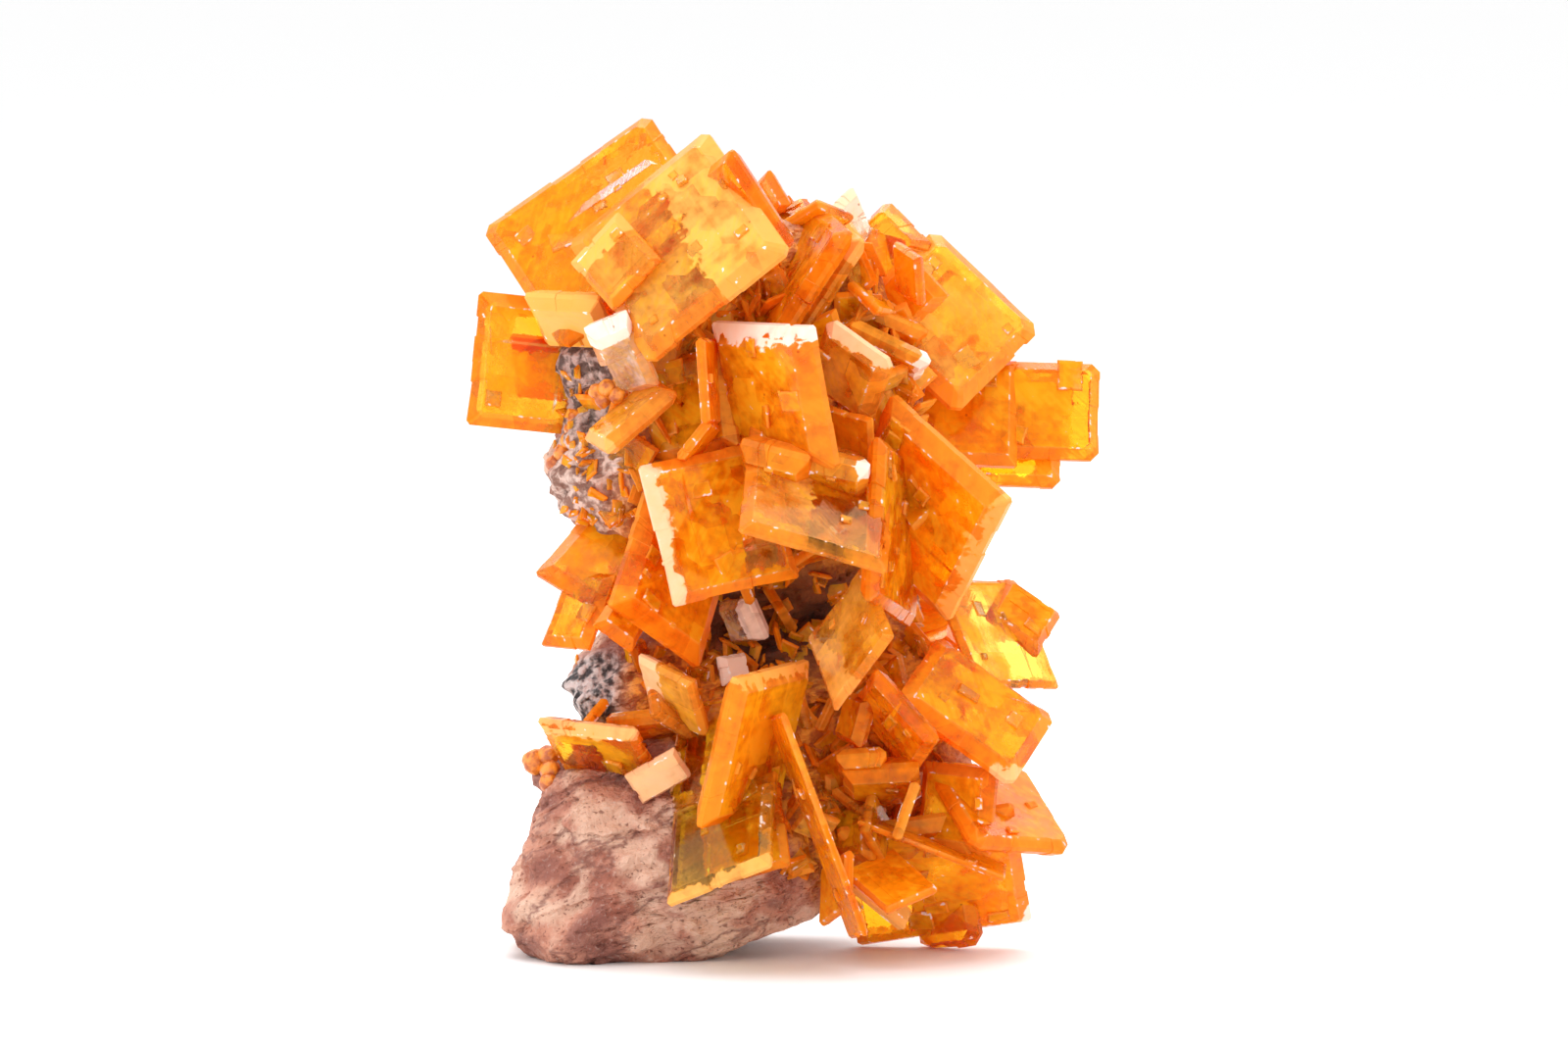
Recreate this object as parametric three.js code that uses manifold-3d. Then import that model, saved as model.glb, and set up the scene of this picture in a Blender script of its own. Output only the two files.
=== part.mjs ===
// Wulfenite on matrix: thin square plates of orange wulfenite, with bevelled rims, standing on a spine of
// pale pink rock that ends below in a bare block. Small round mimetite beads sit on the rock's left side.
//
// Units are millimetres. +Z is up and the specimen is looked at along +Y. The plates were measured in one
// front view, so most of them are given by three corners in that picture's pixels and by how far back they
// stand. What the picture hides is given in millimetres in the part's own frame.
import * as THREE from "three";
import { mergeVertices } from "three/addons/utils/BufferGeometryUtils.js";
import Module from "manifold-3d";

const wasm = await Module();
wasm.setup();

// Driving dimensions
const SPECIMEN_HEIGHT = 60.5;
const GAP = 0.3; // between one piece and the socket or neighbour that holds it
const PRISM_SHARE = 0.22; // the upright band's share of a plate's thickness, between its two bevels
const SOLE = 0; // height of the flat cut that the specimen rests on

// The front view
const PICTURE = { midX: 800, midY: 533.5, standsAtX: 640, foot: 982, top: 117 };
const MM_PER_PIXEL = SPECIMEN_HEIGHT / (PICTURE.foot - PICTURE.top);
const EYE_DISTANCE = 620;
const EYE_PITCH = THREE.MathUtils.degToRad(5);
const FOOT_Y = -6; // the rock's lowest seen edge stands this far in front of the origin

const RIGHT = new THREE.Vector3(1, 0, 0);
const AHEAD = new THREE.Vector3(0, Math.cos(EYE_PITCH), -Math.sin(EYE_PITCH));
const UP = new THREE.Vector3(0, Math.sin(EYE_PITCH), Math.cos(EYE_PITCH));
const EYE = new THREE.Vector3(0, FOOT_Y, 0)
  .addScaledVector(AHEAD, -EYE_DISTANCE)
  .addScaledVector(RIGHT, (PICTURE.midX - PICTURE.standsAtX) * MM_PER_PIXEL)
  .addScaledVector(UP, (PICTURE.foot - PICTURE.midY) * MM_PER_PIXEL);

// The point on a pixel's line of sight that stands y millimetres back, and the picture's scale there.
function seen([px, py], y) {
  const sight = AHEAD.clone()
    .multiplyScalar(EYE_DISTANCE)
    .addScaledVector(RIGHT, (px - PICTURE.midX) * MM_PER_PIXEL)
    .addScaledVector(UP, (PICTURE.midY - py) * MM_PER_PIXEL);
  const reach = (y - EYE.y) / sight.y;
  return { point: EYE.clone().addScaledVector(sight, reach), scale: MM_PER_PIXEL * reach };
}

const TOWARDS = { left: [RIGHT, -1], right: [RIGHT, 1], up: [UP, 1], down: [UP, -1] };

// A right-angled plate from its corners a, b and c in the picture, b and c being a's neighbours. The depths
// of its two sides follow from the right angle and from their true ratio. Of the two plates that would look
// the same, it is the one whose front faces the way it is told.
function plate(a, b, c, y, { thick = 1.5, rim = 1, faces = "up", ratio = 1, cut = 0 } = {}) {
  const middle = [(b[0] + c[0]) / 2, (b[1] + c[1]) / 2];
  const { point, scale } = seen(middle, y);
  const u = [(b[0] - a[0]) * scale, (a[1] - b[1]) * scale];
  const v = [(c[0] - a[0]) * scale, (a[1] - c[1]) * scale];
  const uu = u[0] ** 2 + u[1] ** 2;
  const vv = v[0] ** 2 + v[1] ** 2;
  const uv = u[0] * v[0] + u[1] * v[1];
  const lack = ratio ** 2 * uu - vv;
  const uDepth = Math.sqrt((Math.hypot(lack, 2 * ratio * uv) - lack) / (2 * ratio ** 2));
  const vDepth = -(Math.sign(uv) || 1) * Math.sqrt(Math.max(0, ratio ** 2 * (uu + uDepth ** 2) - vv));
  const side = ([right, up], depth) =>
    new THREE.Vector3().addScaledVector(RIGHT, right).addScaledVector(UP, up).addScaledVector(AHEAD, depth);
  const sides = (sign) => [side(u, sign * uDepth), side(v, sign * vDepth)];
  const [axis, way] = TOWARDS[faces];
  const looksRight = (pair) => {
    const normal = pair[0].clone().cross(pair[1]);
    return normal.dot(AHEAD) * normal.dot(axis) * way <= 0;
  };
  const [U, V] = looksRight(sides(1)) ? sides(1) : sides(-1);
  return tablet(point, U, V, thick, rim, cut);
}

// A plate in the part's own frame: its middle, the way its face looks, and how far it is spun in its plane.
function placed(at, size, { thick = 1.5, rim = 1, turn = 0, tilt = 0, spin = 0, cut = 0 } = {}) {
  const rad = THREE.MathUtils.degToRad;
  const turns = new THREE.Euler(rad(90 - tilt), rad(spin), rad(turn), "ZXY");
  const pose = new THREE.Quaternion().setFromEuler(turns);
  const U = new THREE.Vector3(size, 0, 0).applyQuaternion(pose);
  const V = new THREE.Vector3(0, 0, size).applyQuaternion(pose);
  return tablet(new THREE.Vector3(...at), U, V, thick, rim, cut);
}

function tablet(middle, U, V, thick, rim, cut) {
  const x = U.clone().normalize();
  const y = V.clone().addScaledVector(x, -V.dot(x)).normalize();
  const z = x.clone().cross(y);
  const frame = new THREE.Matrix4().makeBasis(x, y, z).setPosition(middle);
  return { frame, width: U.length(), height: V.length(), thick, rim, cut };
}

// A plate's closed shape: square faces, bevels sloping out to a narrow upright band, and clipped corners
// where cut is given.
function tabletSolid({ frame, width, height, thick, rim, cut }) {
  const w = width / 2;
  const h = height / 2;
  const inset = Math.min(rim, 0.4 * w, 0.4 * h);
  const c = cut && Math.max(cut, 0.65 * inset); // a clipped corner still has an edge on the inner face
  const outline = cut
    ? [[-w + c, -h], [w - c, -h], [w, -h + c], [w, h - c], [w - c, h], [-w + c, h], [-w, h - c], [-w, -h + c]]
    : [[-w, -h], [w, -h], [w, h], [-w, h]];
  const band = thick * PRISM_SHARE;
  const face = new THREE.Shape(outline.map(([x, y]) => new THREE.Vector2(x, y)));
  const geometry = new THREE.ExtrudeGeometry(face, {
    depth: band,
    bevelThickness: (thick - band) / 2,
    bevelSize: inset,
    bevelOffset: -inset,
    bevelSegments: 1,
  });
  return solidOf(geometry.translate(0, 0, -band / 2).applyMatrix4(frame));
}

// The plain block that a plate fills, larger by more all round: its socket in what it stands in.
const blockSolid = ({ frame, width, height, thick }, more) =>
  solidOf(new THREE.BoxGeometry(width + 2 * more, height + 2 * more, thick + 2 * more).applyMatrix4(frame));

// manifold-3d joins and cuts closed three.js geometries
function bare(geometry) {
  const places = geometry.getAttribute("position");
  return new THREE.BufferGeometry().setIndex(geometry.index).setAttribute("position", places);
}

function solidOf(geometry) {
  const merged = mergeVertices(bare(geometry), 1e-4);
  return new wasm.Manifold(
    new wasm.Mesh({
      numProp: 3,
      vertProperties: new Float32Array(merged.getAttribute("position").array),
      triVerts: new Uint32Array(merged.index.array),
    }),
  );
}

const joined = (solids) => solids.reduce((all, one) => all.add(one));

function geometryOf(solid) {
  const { vertProperties, triVerts } = solid.getMesh();
  const geometry = new THREE.BufferGeometry();
  geometry.setAttribute("position", new THREE.BufferAttribute(new Float32Array(vertProperties), 3));
  return geometry.setIndex(new THREE.BufferAttribute(new Uint32Array(triVerts), 1));
}

// Cutting can leave loose splinters, so a piece is its largest body
const larger = (one, other) => (other.volume() > one.volume() ? other : one);
const largestBody = (solid) => solid.decompose().reduce(larger);

// Wulfenite plates. Each entry is one piece: a plate, or plates that grew through each other.
const CRYSTALS = {
  window_plate: [plate([904, 585], [754, 542], [915, 474], -10.5, { thick: 1.2, rim: 1, faces: "up" })],
  pearl_plate: [plate([688, 619], [815, 591], [652, 476], -8.6, { thick: 1.3, rim: 1, faces: "up" })],
  crown_front_plates: [
    plate([722, 132], [807, 258], [579, 247], -6, { thick: 2, rim: 1.3, faces: "left", cut: 0.5 }),
    plate([747, 154], [810, 250], [689, 198], -4.7, { thick: 1.5, rim: 0.6, faces: "left" }),
    plate([631, 216], [582, 268], [676, 266], -6.6, { thick: 1.1, rim: 0.7, faces: "left" }),
  ],
  crown_left_plates: [
    plate([662, 115], [491, 234], [746, 240], 1, { thick: 1.8, rim: 1, faces: "up", ratio: 0.85, cut: 0.6 }),
    plate([536, 301], [612, 305], [556, 346], -2.5, { thick: 1.8, rim: 0.8, faces: "down" }),
  ],
  sparkling_block: [
    plate([596, 337], [640, 318], [612, 372], -7.4, { thick: 2.2, rim: 0.8, faces: "down" }),
    plate([612, 348], [648, 338], [636, 403], -6.6, { thick: 1.2, rim: 0.5, faces: "left" }),
  ],
  centre_plate: [
    plate([728, 327], [829, 334], [754, 470], -8.4, { thick: 2.4, rim: 1.7, faces: "left", ratio: 1 }),
    plate([714, 345], [720, 433], [730, 345], -7.4, { thick: 0.7, rim: 0.3, faces: "right" }),
    plate([724, 428], [692, 468], [734, 434], -8, { thick: 0.7, rim: 0.3, faces: "down" }),
    plate([756, 450], [826, 468], [760, 488], -9.2, { thick: 2.4, rim: 0.9, faces: "down" }),
    plate([820, 462], [887, 476], [820, 500], -9, { thick: 2.2, rim: 0.9, faces: "down" }),
  ],
  right_of_centre_plate: [
    plate([847, 324], [911, 370], [825, 388], -4.6, { thick: 2, rim: 1.2, faces: "left", cut: 0.5 }),
  ],
  thin_right_plate: [
    plate([845, 413], [890, 427], [848, 470], -5.4, { thick: 0.7, rim: 0.3, faces: "left" }),
  ],
  lower_centre_plates: [
    plate([749, 690], [824, 673], [713, 843], -9.6, { thick: 1.8, rim: 1.2, faces: "right" }),
    plate([696, 720], [682, 831], [768, 706], -6.4, { thick: 0.9, rim: 0.4, faces: "left" }),
  ],
  olive_plates: [
    plate([787, 881], [682, 924], [793, 787], -11.2, { thick: 1.3, rim: 0.9, faces: "up" }),
    plate([807, 882], [728, 905], [796, 797], -9, { thick: 1, rim: 0.6, faces: "up" }),
  ],
  hidden_plate: [plate([623, 617], [711, 682], [658, 500], -6.2, { thick: 1.9, rim: 1.5, faces: "up" })],
  right_front_plates: [
    plate([911, 402], [1030, 511], [851, 525], -3.5, { thick: 2.2, rim: 1.4, faces: "left" }),
    plate([893, 446], [937, 474], [884, 612], -5.6, { thick: 1.4, rim: 0.8, faces: "right" }),
    plate([930, 484], [984, 554], [922, 492], -4.4, { thick: 0.6, rim: 0.2, faces: "down", ratio: 0.4 }),
  ],
  diamond_plate: [plate([825, 653], [883, 575], [853, 726], -8.2, { thick: 0.9, rim: 0.6, faces: "left" })],
  lower_right_plates: [
    plate([957, 650], [1077, 735], [911, 716], -5.6, { thick: 1.9, rim: 1.2, ratio: 0.8, cut: 0.6 }),
    plate([893, 682], [871, 717], [957, 754], -8.2, { thick: 1.3, rim: 0.8, faces: "left" }),
  ],
  pale_plate: [
    plate([637, 791], [688, 762], [656, 820], -5.8, { thick: 1.1, rim: 0.3, faces: "left", ratio: 0.6 }),
  ],
  long_blade: [
    plate([785, 732], [870, 959], [799, 726], -12, { thick: 0.5, rim: 0.3, faces: "left", ratio: 0.36 }),
  ],
  left_plates: [
    plate([489, 297], [475, 433], [624, 311], 2.5, { thick: 1.5, rim: 1.2, faces: "right", cut: 0.3 }),
    plate([520, 342], [526, 402], [588, 350], 4.6, { thick: 2, rim: 0.6, faces: "left" }),
  ],
  tongue_plate: [
    plate([597, 449], [668, 388], [620, 462], -7.6, { thick: 1.5, rim: 0.7, faces: "up", ratio: 0.6 }),
  ],
  crown_stack: [
    plate([834, 202], [752, 328], [868, 240], -1.2, { thick: 1.6, rim: 1, faces: "left" }),
    plate([853, 219], [776, 338], [880, 247], 0.9, { thick: 1.4, rim: 0.8, faces: "left" }),
    plate([857, 212], [903, 276], [818, 274], 3, { thick: 1.4, rim: 0.9, faces: "up" }),
  ],
  top_spikes: [
    plate([785, 174], [765, 194], [806, 210], 3.4, { thick: 1, rim: 0.4, faces: "left" }),
    plate([824, 203], [778, 224], [836, 226], 2.6, { thick: 1.1, rim: 0.5, faces: "up" }),
    plate([806, 200], [784, 222], [822, 214], 4.6, { thick: 1, rim: 0.4, faces: "right" }),
  ],
  white_spike: [plate([869, 191], [840, 218], [890, 240], 6.2, { thick: 1.2, rim: 0.6, faces: "right" })],
  back_right_plate: [
    plate([908, 204], [846, 264], [953, 252], 8.4, { thick: 1.8, rim: 1.2, faces: "up", cut: 0.5 }),
  ],
  right_upper_plates: [
    plate([953, 233], [1062, 337], [866, 320], 4.6, { thick: 1.9, rim: 1.3, faces: "right", cut: 0.7 }),
    plate([927, 257], [888, 296], [968, 302], 1.6, { thick: 1.8, rim: 1, faces: "left" }),
  ],
  bar_plates: [
    plate([880, 311], [947, 339], [868, 337], -0.6, { thick: 1.3, rim: 0.6, faces: "down", ratio: 0.8 }),
    plate([868, 331], [949, 370], [858, 346], -1.8, { thick: 1.3, rim: 0.6, faces: "down", ratio: 0.8 }),
  ],
  right_stepped_plates: [
    plate([1021, 369], [1123, 372], [1019, 468], 5.6, { thick: 1.9, rim: 0.9, faces: "right", cut: 0.6 }),
    plate([976, 391], [1084, 395], [974, 495], 6.6, { thick: 1.9, rim: 0.9, faces: "right", cut: 0.6 }),
    plate([925, 366], [1040, 369], [922, 474], 4.8, { thick: 2, rim: 0.8, faces: "right" }),
  ],
  left_middle_plates: [
    plate([546, 586], [611, 509], [630, 637], -0.5, { thick: 1.7, rim: 1.4, faces: "up" }),
    plate([581, 583], [553, 659], [630, 587], -2.4, { thick: 1.3, rim: 0.8, faces: "left", ratio: 0.8 }),
  ],
  small_left_block: [plate([606, 637], [644, 665], [627, 602], -4.2, { thick: 1.9, rim: 0.8, faces: "up" })],
  pink_blades: [
    plate([652, 667], [708, 694], [668, 724], -5.6, { thick: 1, rim: 0.4, faces: "left" }),
    plate([660, 690], [700, 716], [666, 728], -4.4, { thick: 1, rim: 0.4, faces: "right" }),
  ],
  left_low_plate: [plate([549, 733], [651, 744], [577, 789], -3.8, { thick: 1.3, rim: 0.7, faces: "down" })],
  left_low_block: [plate([619, 733], [694, 725], [622, 762], -2.4, { thick: 1.2, rim: 0.5, faces: "down" })],
  far_right_plates: [
    plate([1037, 593], [1081, 703], [950, 590], 2.4, { thick: 0.9, rim: 0.5, faces: "right" }),
    plate([1083, 629], [1026, 590], [1056, 672], 5, { thick: 1.8, rim: 0.8, faces: "right", cut: 0.3 }),
  ],
  right_low_plates: [
    plate([942, 780], [1044, 789], [991, 861], -4.2, { thick: 1.6, rim: 0.6, faces: "right", cut: 0.7 }),
    plate([945, 776], [936, 865], [1018, 784], -5.6, { thick: 1.6, rim: 1, faces: "left" }),
  ],
  bottom_right_plates: [
    plate([1055, 940], [876, 966], [1032, 818], -1.6, { thick: 1.7, rim: 1.1, faces: "down", cut: 0.3 }),
    plate([943, 974], [930, 900], [1003, 962], 1.4, { thick: 1.8, rim: 0.7, faces: "left", cut: 0.8 }),
  ],
  peach_bar: [
    plate([866, 883], [929, 934], [860, 896], -5.2, { thick: 1, rim: 0.3, faces: "up", ratio: 0.4 }),
  ],
  needle_plate: [
    plate([874, 838], [1024, 896], [878, 827], -6.2, { thick: 0.4, rim: 0.2, faces: "up", ratio: 0.4 }),
  ],
  frosted_plate: [plate([889, 816], [892, 876], [848, 828], -5, { thick: 1.5, rim: 0.6, faces: "left" })],
  square_blocks: [
    plate([853, 772], [904, 768], [856, 790], -7.2, { thick: 1.5, rim: 0.6, faces: "down" }),
    plate([858, 783], [937, 779], [862, 815], -6, { thick: 2, rim: 0.9, faces: "down" }),
  ],
  slanted_block: [plate([869, 706], [856, 754], [890, 714], -6.4, { thick: 1.3, rim: 0.5, faces: "left" })],
  recess_block: [plate([735, 614], [765, 609], [753, 656], -0.2, { thick: 1.8, rim: 0.6, faces: "left" })],
  recess_bright_block: [
    plate([732, 670], [758, 666], [738, 700], -1.8, { thick: 1.6, rim: 0.5, faces: "up" }),
  ],
  centre_left_plate: [
    plate([650, 372], [737, 352], [668, 474], -4.4, { thick: 1.6, rim: 0.9, faces: "left" }),
  ],
  back_upper_plate: [
    placed([9, 8.6, 49], 10, { thick: 1.7, rim: 1.1, turn: 165, tilt: 40, spin: 25, cut: 0.5 }),
  ],
  back_upper_small_plate: [placed([2, 7.6, 44], 7, { thick: 1.3, rim: 0.8, turn: 215, tilt: 20, spin: 50 })],
  back_middle_plate: [placed([18, 10, 40], 9, { thick: 1.6, rim: 1, turn: 150, tilt: 35, spin: 12 })],
  back_middle_small_plate: [
    placed([17, 8, 32], 6.4, { thick: 1.2, rim: 0.7, turn: 205, tilt: -30, spin: 40 }),
  ],
  back_low_plate: [placed([20, 9, 22], 9, { thick: 1.5, rim: 0.9, turn: 135, tilt: 28, spin: 35, cut: 0.4 })],
  back_low_small_plate: [
    placed([14.5, 7.6, 14], 6.4, { thick: 1.1, rim: 0.6, turn: 190, tilt: -40, spin: 15 }),
  ],
};

// Mimetite beads: round lumps in chains on the rock. Each is its middle in the picture, how far back, and its
// radius.
const ROUND_ABOUT = 1.26; // an icosahedron this much larger than a bead holds it
const BEADS = {
  upper_beads: [
    [[608, 399], -6.6, 0.55],
    [[619, 396], -6.9, 0.62],
    [[629, 403], -7, 0.6],
    [[615, 408], -6.7, 0.58],
  ],
  left_beads: [
    [[588, 426], 0.2, 0.64],
    [[584, 438], 0.4, 0.6],
    [[580, 450], 0.6, 0.62],
    [[574, 462], 0.9, 0.68],
    [[567, 474], 1.4, 0.68],
  ],
  base_beads: [
    [[547, 777], 0.5, 0.95],
    [[559, 771], 0.1, 0.75],
    [[561, 785], -0.4, 0.75],
    [[560, 798], -0.9, 0.7],
  ],
};

// The rock's level sections, from the bottom up: how high in the picture, the pixels where its left and
// right sides are, and how far back its front and back are in mm. Its lower end is a block that leans out to
// the left, and above a notch it narrows to the upright spine that carries the plates.
const ROCK = [
  { row: 990, left: 566, right: 716, front: -5.6, back: 7.5 },
  { row: 966, left: 536, right: 740, front: -7.5, back: 9.3 },
  { row: 942, left: 517, right: 804, front: -8.8, back: 10.6 },
  { row: 918, left: 517, right: 852, front: -9, back: 11.4 },
  { row: 893, left: 524, right: 930, front: -8.8, back: 11.6 },
  { row: 865, left: 528, right: 985, front: -8.6, back: 11.2 },
  { row: 838, left: 534, right: 1000, front: -8, back: 10.6 },
  { row: 812, left: 544, right: 1002, front: -7, back: 10 },
  { row: 788, left: 548, right: 1002, front: -5, back: 9.4 },
  { row: 766, left: 580, right: 1000, front: -3, back: 9.2 },
  { row: 735, left: 594, right: 996, front: -2.8, back: 9 },
  { row: 700, left: 578, right: 984, front: -2.4, back: 9.2 },
  { row: 668, left: 594, right: 966, front: 0, back: 9.6 },
  { row: 630, left: 630, right: 944, front: 2, back: 10 },
  { row: 590, left: 630, right: 934, front: 0.6, back: 10 },
  { row: 550, left: 606, right: 932, front: -1.8, back: 10 },
  { row: 515, left: 570, right: 938, front: -3.2, back: 10 },
  { row: 480, left: 556, right: 940, front: -3.8, back: 10 },
  { row: 440, left: 572, right: 944, front: -4, back: 10 },
  { row: 400, left: 580, right: 944, front: -4, back: 9.8 },
  { row: 360, left: 574, right: 938, front: -3.6, back: 9.3 },
  { row: 325, left: 592, right: 926, front: -3, back: 8.8 },
  { row: 290, left: 640, right: 906, front: -2.4, back: 8.2 },
  { row: 256, left: 686, right: 882, front: -1.4, back: 7.2 },
  { row: 222, left: 744, right: 838, front: 1, back: 5.8 },
];
const ROCK_SIDES = 18; // points round each section
const SQUARENESS = 2.7; // 2 would make the sections ellipses
const BROKEN = 1.05; // how far the fracture surface rises and falls
const LEDGE = { every: 4.3, lean: 0.34, depth: 0.36 }; // beds that break off in steps, rising to the right

// Flat faces that the rock broke along: the sections that each one cuts, a point of it (pixel column, row and
// mm back) and the way it looks.
const FRACTURES = [
  { rows: [800, 950], at: [522, 915, 0], looks: [-0.95, 0, 0.3] },
  { rows: [935, 990], at: [527, 962, 0], looks: [-0.72, 0, -0.69] },
  { rows: [780, 990], at: [560, 890, -6.2], looks: [-0.62, -0.78, 0.08] },
  { rows: [780, 925], at: [640, 860, -6.6], looks: [0.05, -0.88, 0.47] },
  { rows: [900, 990], at: [650, 955, -7.2], looks: [0.12, -0.86, -0.5] },
  { rows: [780, 990], at: [780, 900, -6.4], looks: [0.62, -0.77, -0.15] },
  { rows: [860, 990], at: [790, 950, 0], looks: [0.5, 0, -0.87] },
  { rows: [780, 990], at: [570, 880, 8.4], looks: [-0.66, 0.74, 0.12] },
  { rows: [800, 990], at: [680, 930, 9.6], looks: [0.08, 0.93, -0.35] },
  { rows: [700, 930], at: [690, 850, 9.4], looks: [-0.1, 0.9, 0.42] },
  { rows: [640, 900], at: [840, 800, 7.4], looks: [0.62, 0.78, 0] },
  { rows: [500, 760], at: [650, 640, 7.4], looks: [-0.55, 0.83, -0.1] },
  { rows: [420, 640], at: [840, 530, 8.2], looks: [0.4, 0.91, 0.12] },
  { rows: [330, 560], at: [700, 450, 8.6], looks: [-0.22, 0.95, -0.2] },
  { rows: [240, 420], at: [640, 350, 6.6], looks: [-0.6, 0.74, 0.3] },
  { rows: [222, 400], at: [820, 300, 6.8], looks: [0.3, 0.88, 0.36] },
];
const FLATTENED = 0.88; // how much of what stands over a fracture face is gone

// A fixed unevenness between -1 and 1 that depends on place alone.
const uneven = ({ x, y, z }) =>
  0.45 * Math.sin(0.83 * x + 0.61 * z + 1.3) * Math.cos(0.72 * y - 0.31 * x) +
  0.33 * Math.sin(1.71 * z + 1.17 * y + 0.4) * Math.sin(1.43 * x - 0.52 * z + 2.1) +
  0.22 * Math.sin(2.9 * x + 0.7) * Math.sin(2.6 * y + 1.9) * Math.sin(2.75 * z);

// Where a place is within its bed: 1 at the bed's lower edge, falling to 0 at its upper edge.
function withinBed({ x, y, z }) {
  const height = (z - LEDGE.lean * x + 0.12 * y + 0.5 * Math.sin(0.4 * x)) / LEDGE.every;
  return 1 - (height - Math.floor(height));
}

// The point of the rock's surface at one section and one turn.
function rockPoint(level, turn) {
  const section = ROCK[level];
  const middleY = (section.front + section.back) / 2;
  const left = seen([section.left, section.row], middleY).point;
  const right = seen([section.right, section.row], middleY).point;
  const bend = (v) => Math.sign(v) * Math.abs(v) ** (2 / SQUARENESS);
  const out = new THREE.Vector3(Math.cos(turn), Math.sin(turn), 0);
  const point = new THREE.Vector3(
    (left.x + right.x) / 2 + (bend(out.x) * (right.x - left.x)) / 2,
    middleY + (bend(out.y) * (section.back - section.front)) / 2,
    left.z,
  );
  for (const { rows, at, looks } of FRACTURES) {
    const normal = new THREE.Vector3(...looks).normalize();
    const over = point.clone().sub(seen(at, at[2]).point).dot(normal);
    const cuts = section.row >= rows[0] && section.row <= rows[1];
    if (cuts && over > 0) point.addScaledVector(normal, -FLATTENED * over);
  }
  const side = 0.4 + 0.6 * Math.abs(out.y); // the seen outline at the left and right is already uneven
  return point.addScaledVector(out, side * (BROKEN * uneven(point) + LEDGE.depth * (withinBed(point) - 0.6)));
}

function rockBody() {
  const tube = mergeVertices(bare(new THREE.CylinderGeometry(1, 1, 1, ROCK_SIDES, ROCK.length - 1)), 1e-4);
  const place = tube.getAttribute("position");
  for (let i = 0; i < place.count; i++) {
    const [x, height, z] = [place.getX(i), place.getY(i), place.getZ(i)];
    const level = Math.round((height + 0.5) * (ROCK.length - 1));
    const onAxis = Math.hypot(x, z) < 0.5;
    const turn = Math.atan2(-z, x);
    const point = onAxis ? rockPoint(level, 0).lerp(rockPoint(level, Math.PI), 0.5) : rockPoint(level, turn);
    place.setXYZ(i, point.x, point.y, point.z);
  }
  return solidOf(tube);
}

// Small plates that crowd the rock between the large ones are part of the matrix piece. Each clump is its
// middle in the picture (or on the back in mm), its spread in mm, and how many plates of what size are in it.
const CLUMPS = [
  { at: [645, 428], spread: [2.4, 2.6], count: 3, size: 2.6 },
  { at: [712, 446], spread: [2.4, 2.4], count: 3, size: 3 },
  { at: [672, 690], spread: [3, 3.6], count: 3, size: 2.6 },
  { at: [790, 590], spread: [4, 2.6], count: 3, size: 2.6 },
  { at: [770, 748], spread: [4.6, 2.6], count: 3, size: 3.4 },
  { at: [870, 745], spread: [4.2, 4.4], count: 4, size: 4 },
  { at: [850, 850], spread: [3, 3.6], count: 3, size: 3.2 },
  { at: [905, 850], spread: [2, 3], count: 3, size: 4 },
  { at: [800, 272], spread: [3.8, 4], count: 3, size: 3.3 },
  { at: [905, 330], spread: [2.6, 4.6], count: 3, size: 3.4 },
  { at: [925, 560], spread: [1.6, 5.4], count: 3, size: 3.4 },
  { at: [700, 260], spread: [3.4, 3.4], count: 2, size: 6 },
  { at: [790, 400], spread: [3, 3], count: 2, size: 6.4 },
  { at: [750, 545], spread: [3.4, 2], count: 2, size: 6.4 },
  { at: [850, 520], spread: [3, 2], count: 2, size: 7 },
  { at: [622, 738], spread: [2.4, 1.2], count: 2, size: 2.4 },
];
const BACK_CLUMPS = [
  { at: [16.5, 9, 46.6], spread: [3.8, 3.4], count: 3, size: 3.1 },
  { at: [22, 9, 37], spread: [2, 5], count: 3, size: 3.4 },
  { at: [20, 9, 20], spread: [2.4, 5], count: 3, size: 3 },
  { at: [2, 8.6, 40], spread: [2.4, 4], count: 3, size: 2.6 },
];
const SMALL = { thick: 0.75 };
const share = (i, step) => (0.5 + i * step) % 1;

// The rock's front or back face at a height and a sideways place.
function onRock(x, z, back) {
  const level = ROCK.findIndex((section) => seen([640, section.row], 0).point.z > z);
  const section = ROCK[level < 0 ? ROCK.length - 1 : level];
  return back ? section.back - 0.6 : section.front + 0.8;
}

function clumpPlates({ at, spread, count, size }, seed) {
  const back = at.length === 3;
  const middle = back ? new THREE.Vector3(...at) : seen(at, 0).point;
  const outward = new THREE.Vector3(0, back ? 1 : -1, 0);
  const plates = [];
  for (let i = 1; i <= count; i++) {
    const n = seed * 13 + i;
    const turn = 2.39996 * i;
    const away = Math.sqrt(i / count);
    const x = middle.x + spread[0] * away * Math.cos(turn);
    const z = middle.z + spread[1] * away * Math.sin(turn);
    const [aboutX, aboutY, aboutZ] = [share(n, 0.7549), share(n, 0.5698), share(n, 0.3247)];
    const pose = new THREE.Quaternion().setFromEuler(
      new THREE.Euler(2.6 * aboutX - 1.3, 2.8 * aboutY - 1.4, 3.1 * aboutZ, "XYZ"),
    );
    const edge = size * (0.6 + 0.8 * share(n, 0.618));
    const U = new THREE.Vector3(edge, 0, 0).applyQuaternion(pose);
    const V = new THREE.Vector3(0, edge * (0.8 + 0.4 * share(n, 0.414)), 0).applyQuaternion(pose);
    const stand = 0.25 * edge * share(n, 0.2361);
    const point = new THREE.Vector3(x, onRock(x, z, back), z).addScaledVector(outward, stand);
    plates.push(tablet(point, U, V, SMALL.thick, 0, 0));
  }
  return plates;
}

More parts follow.
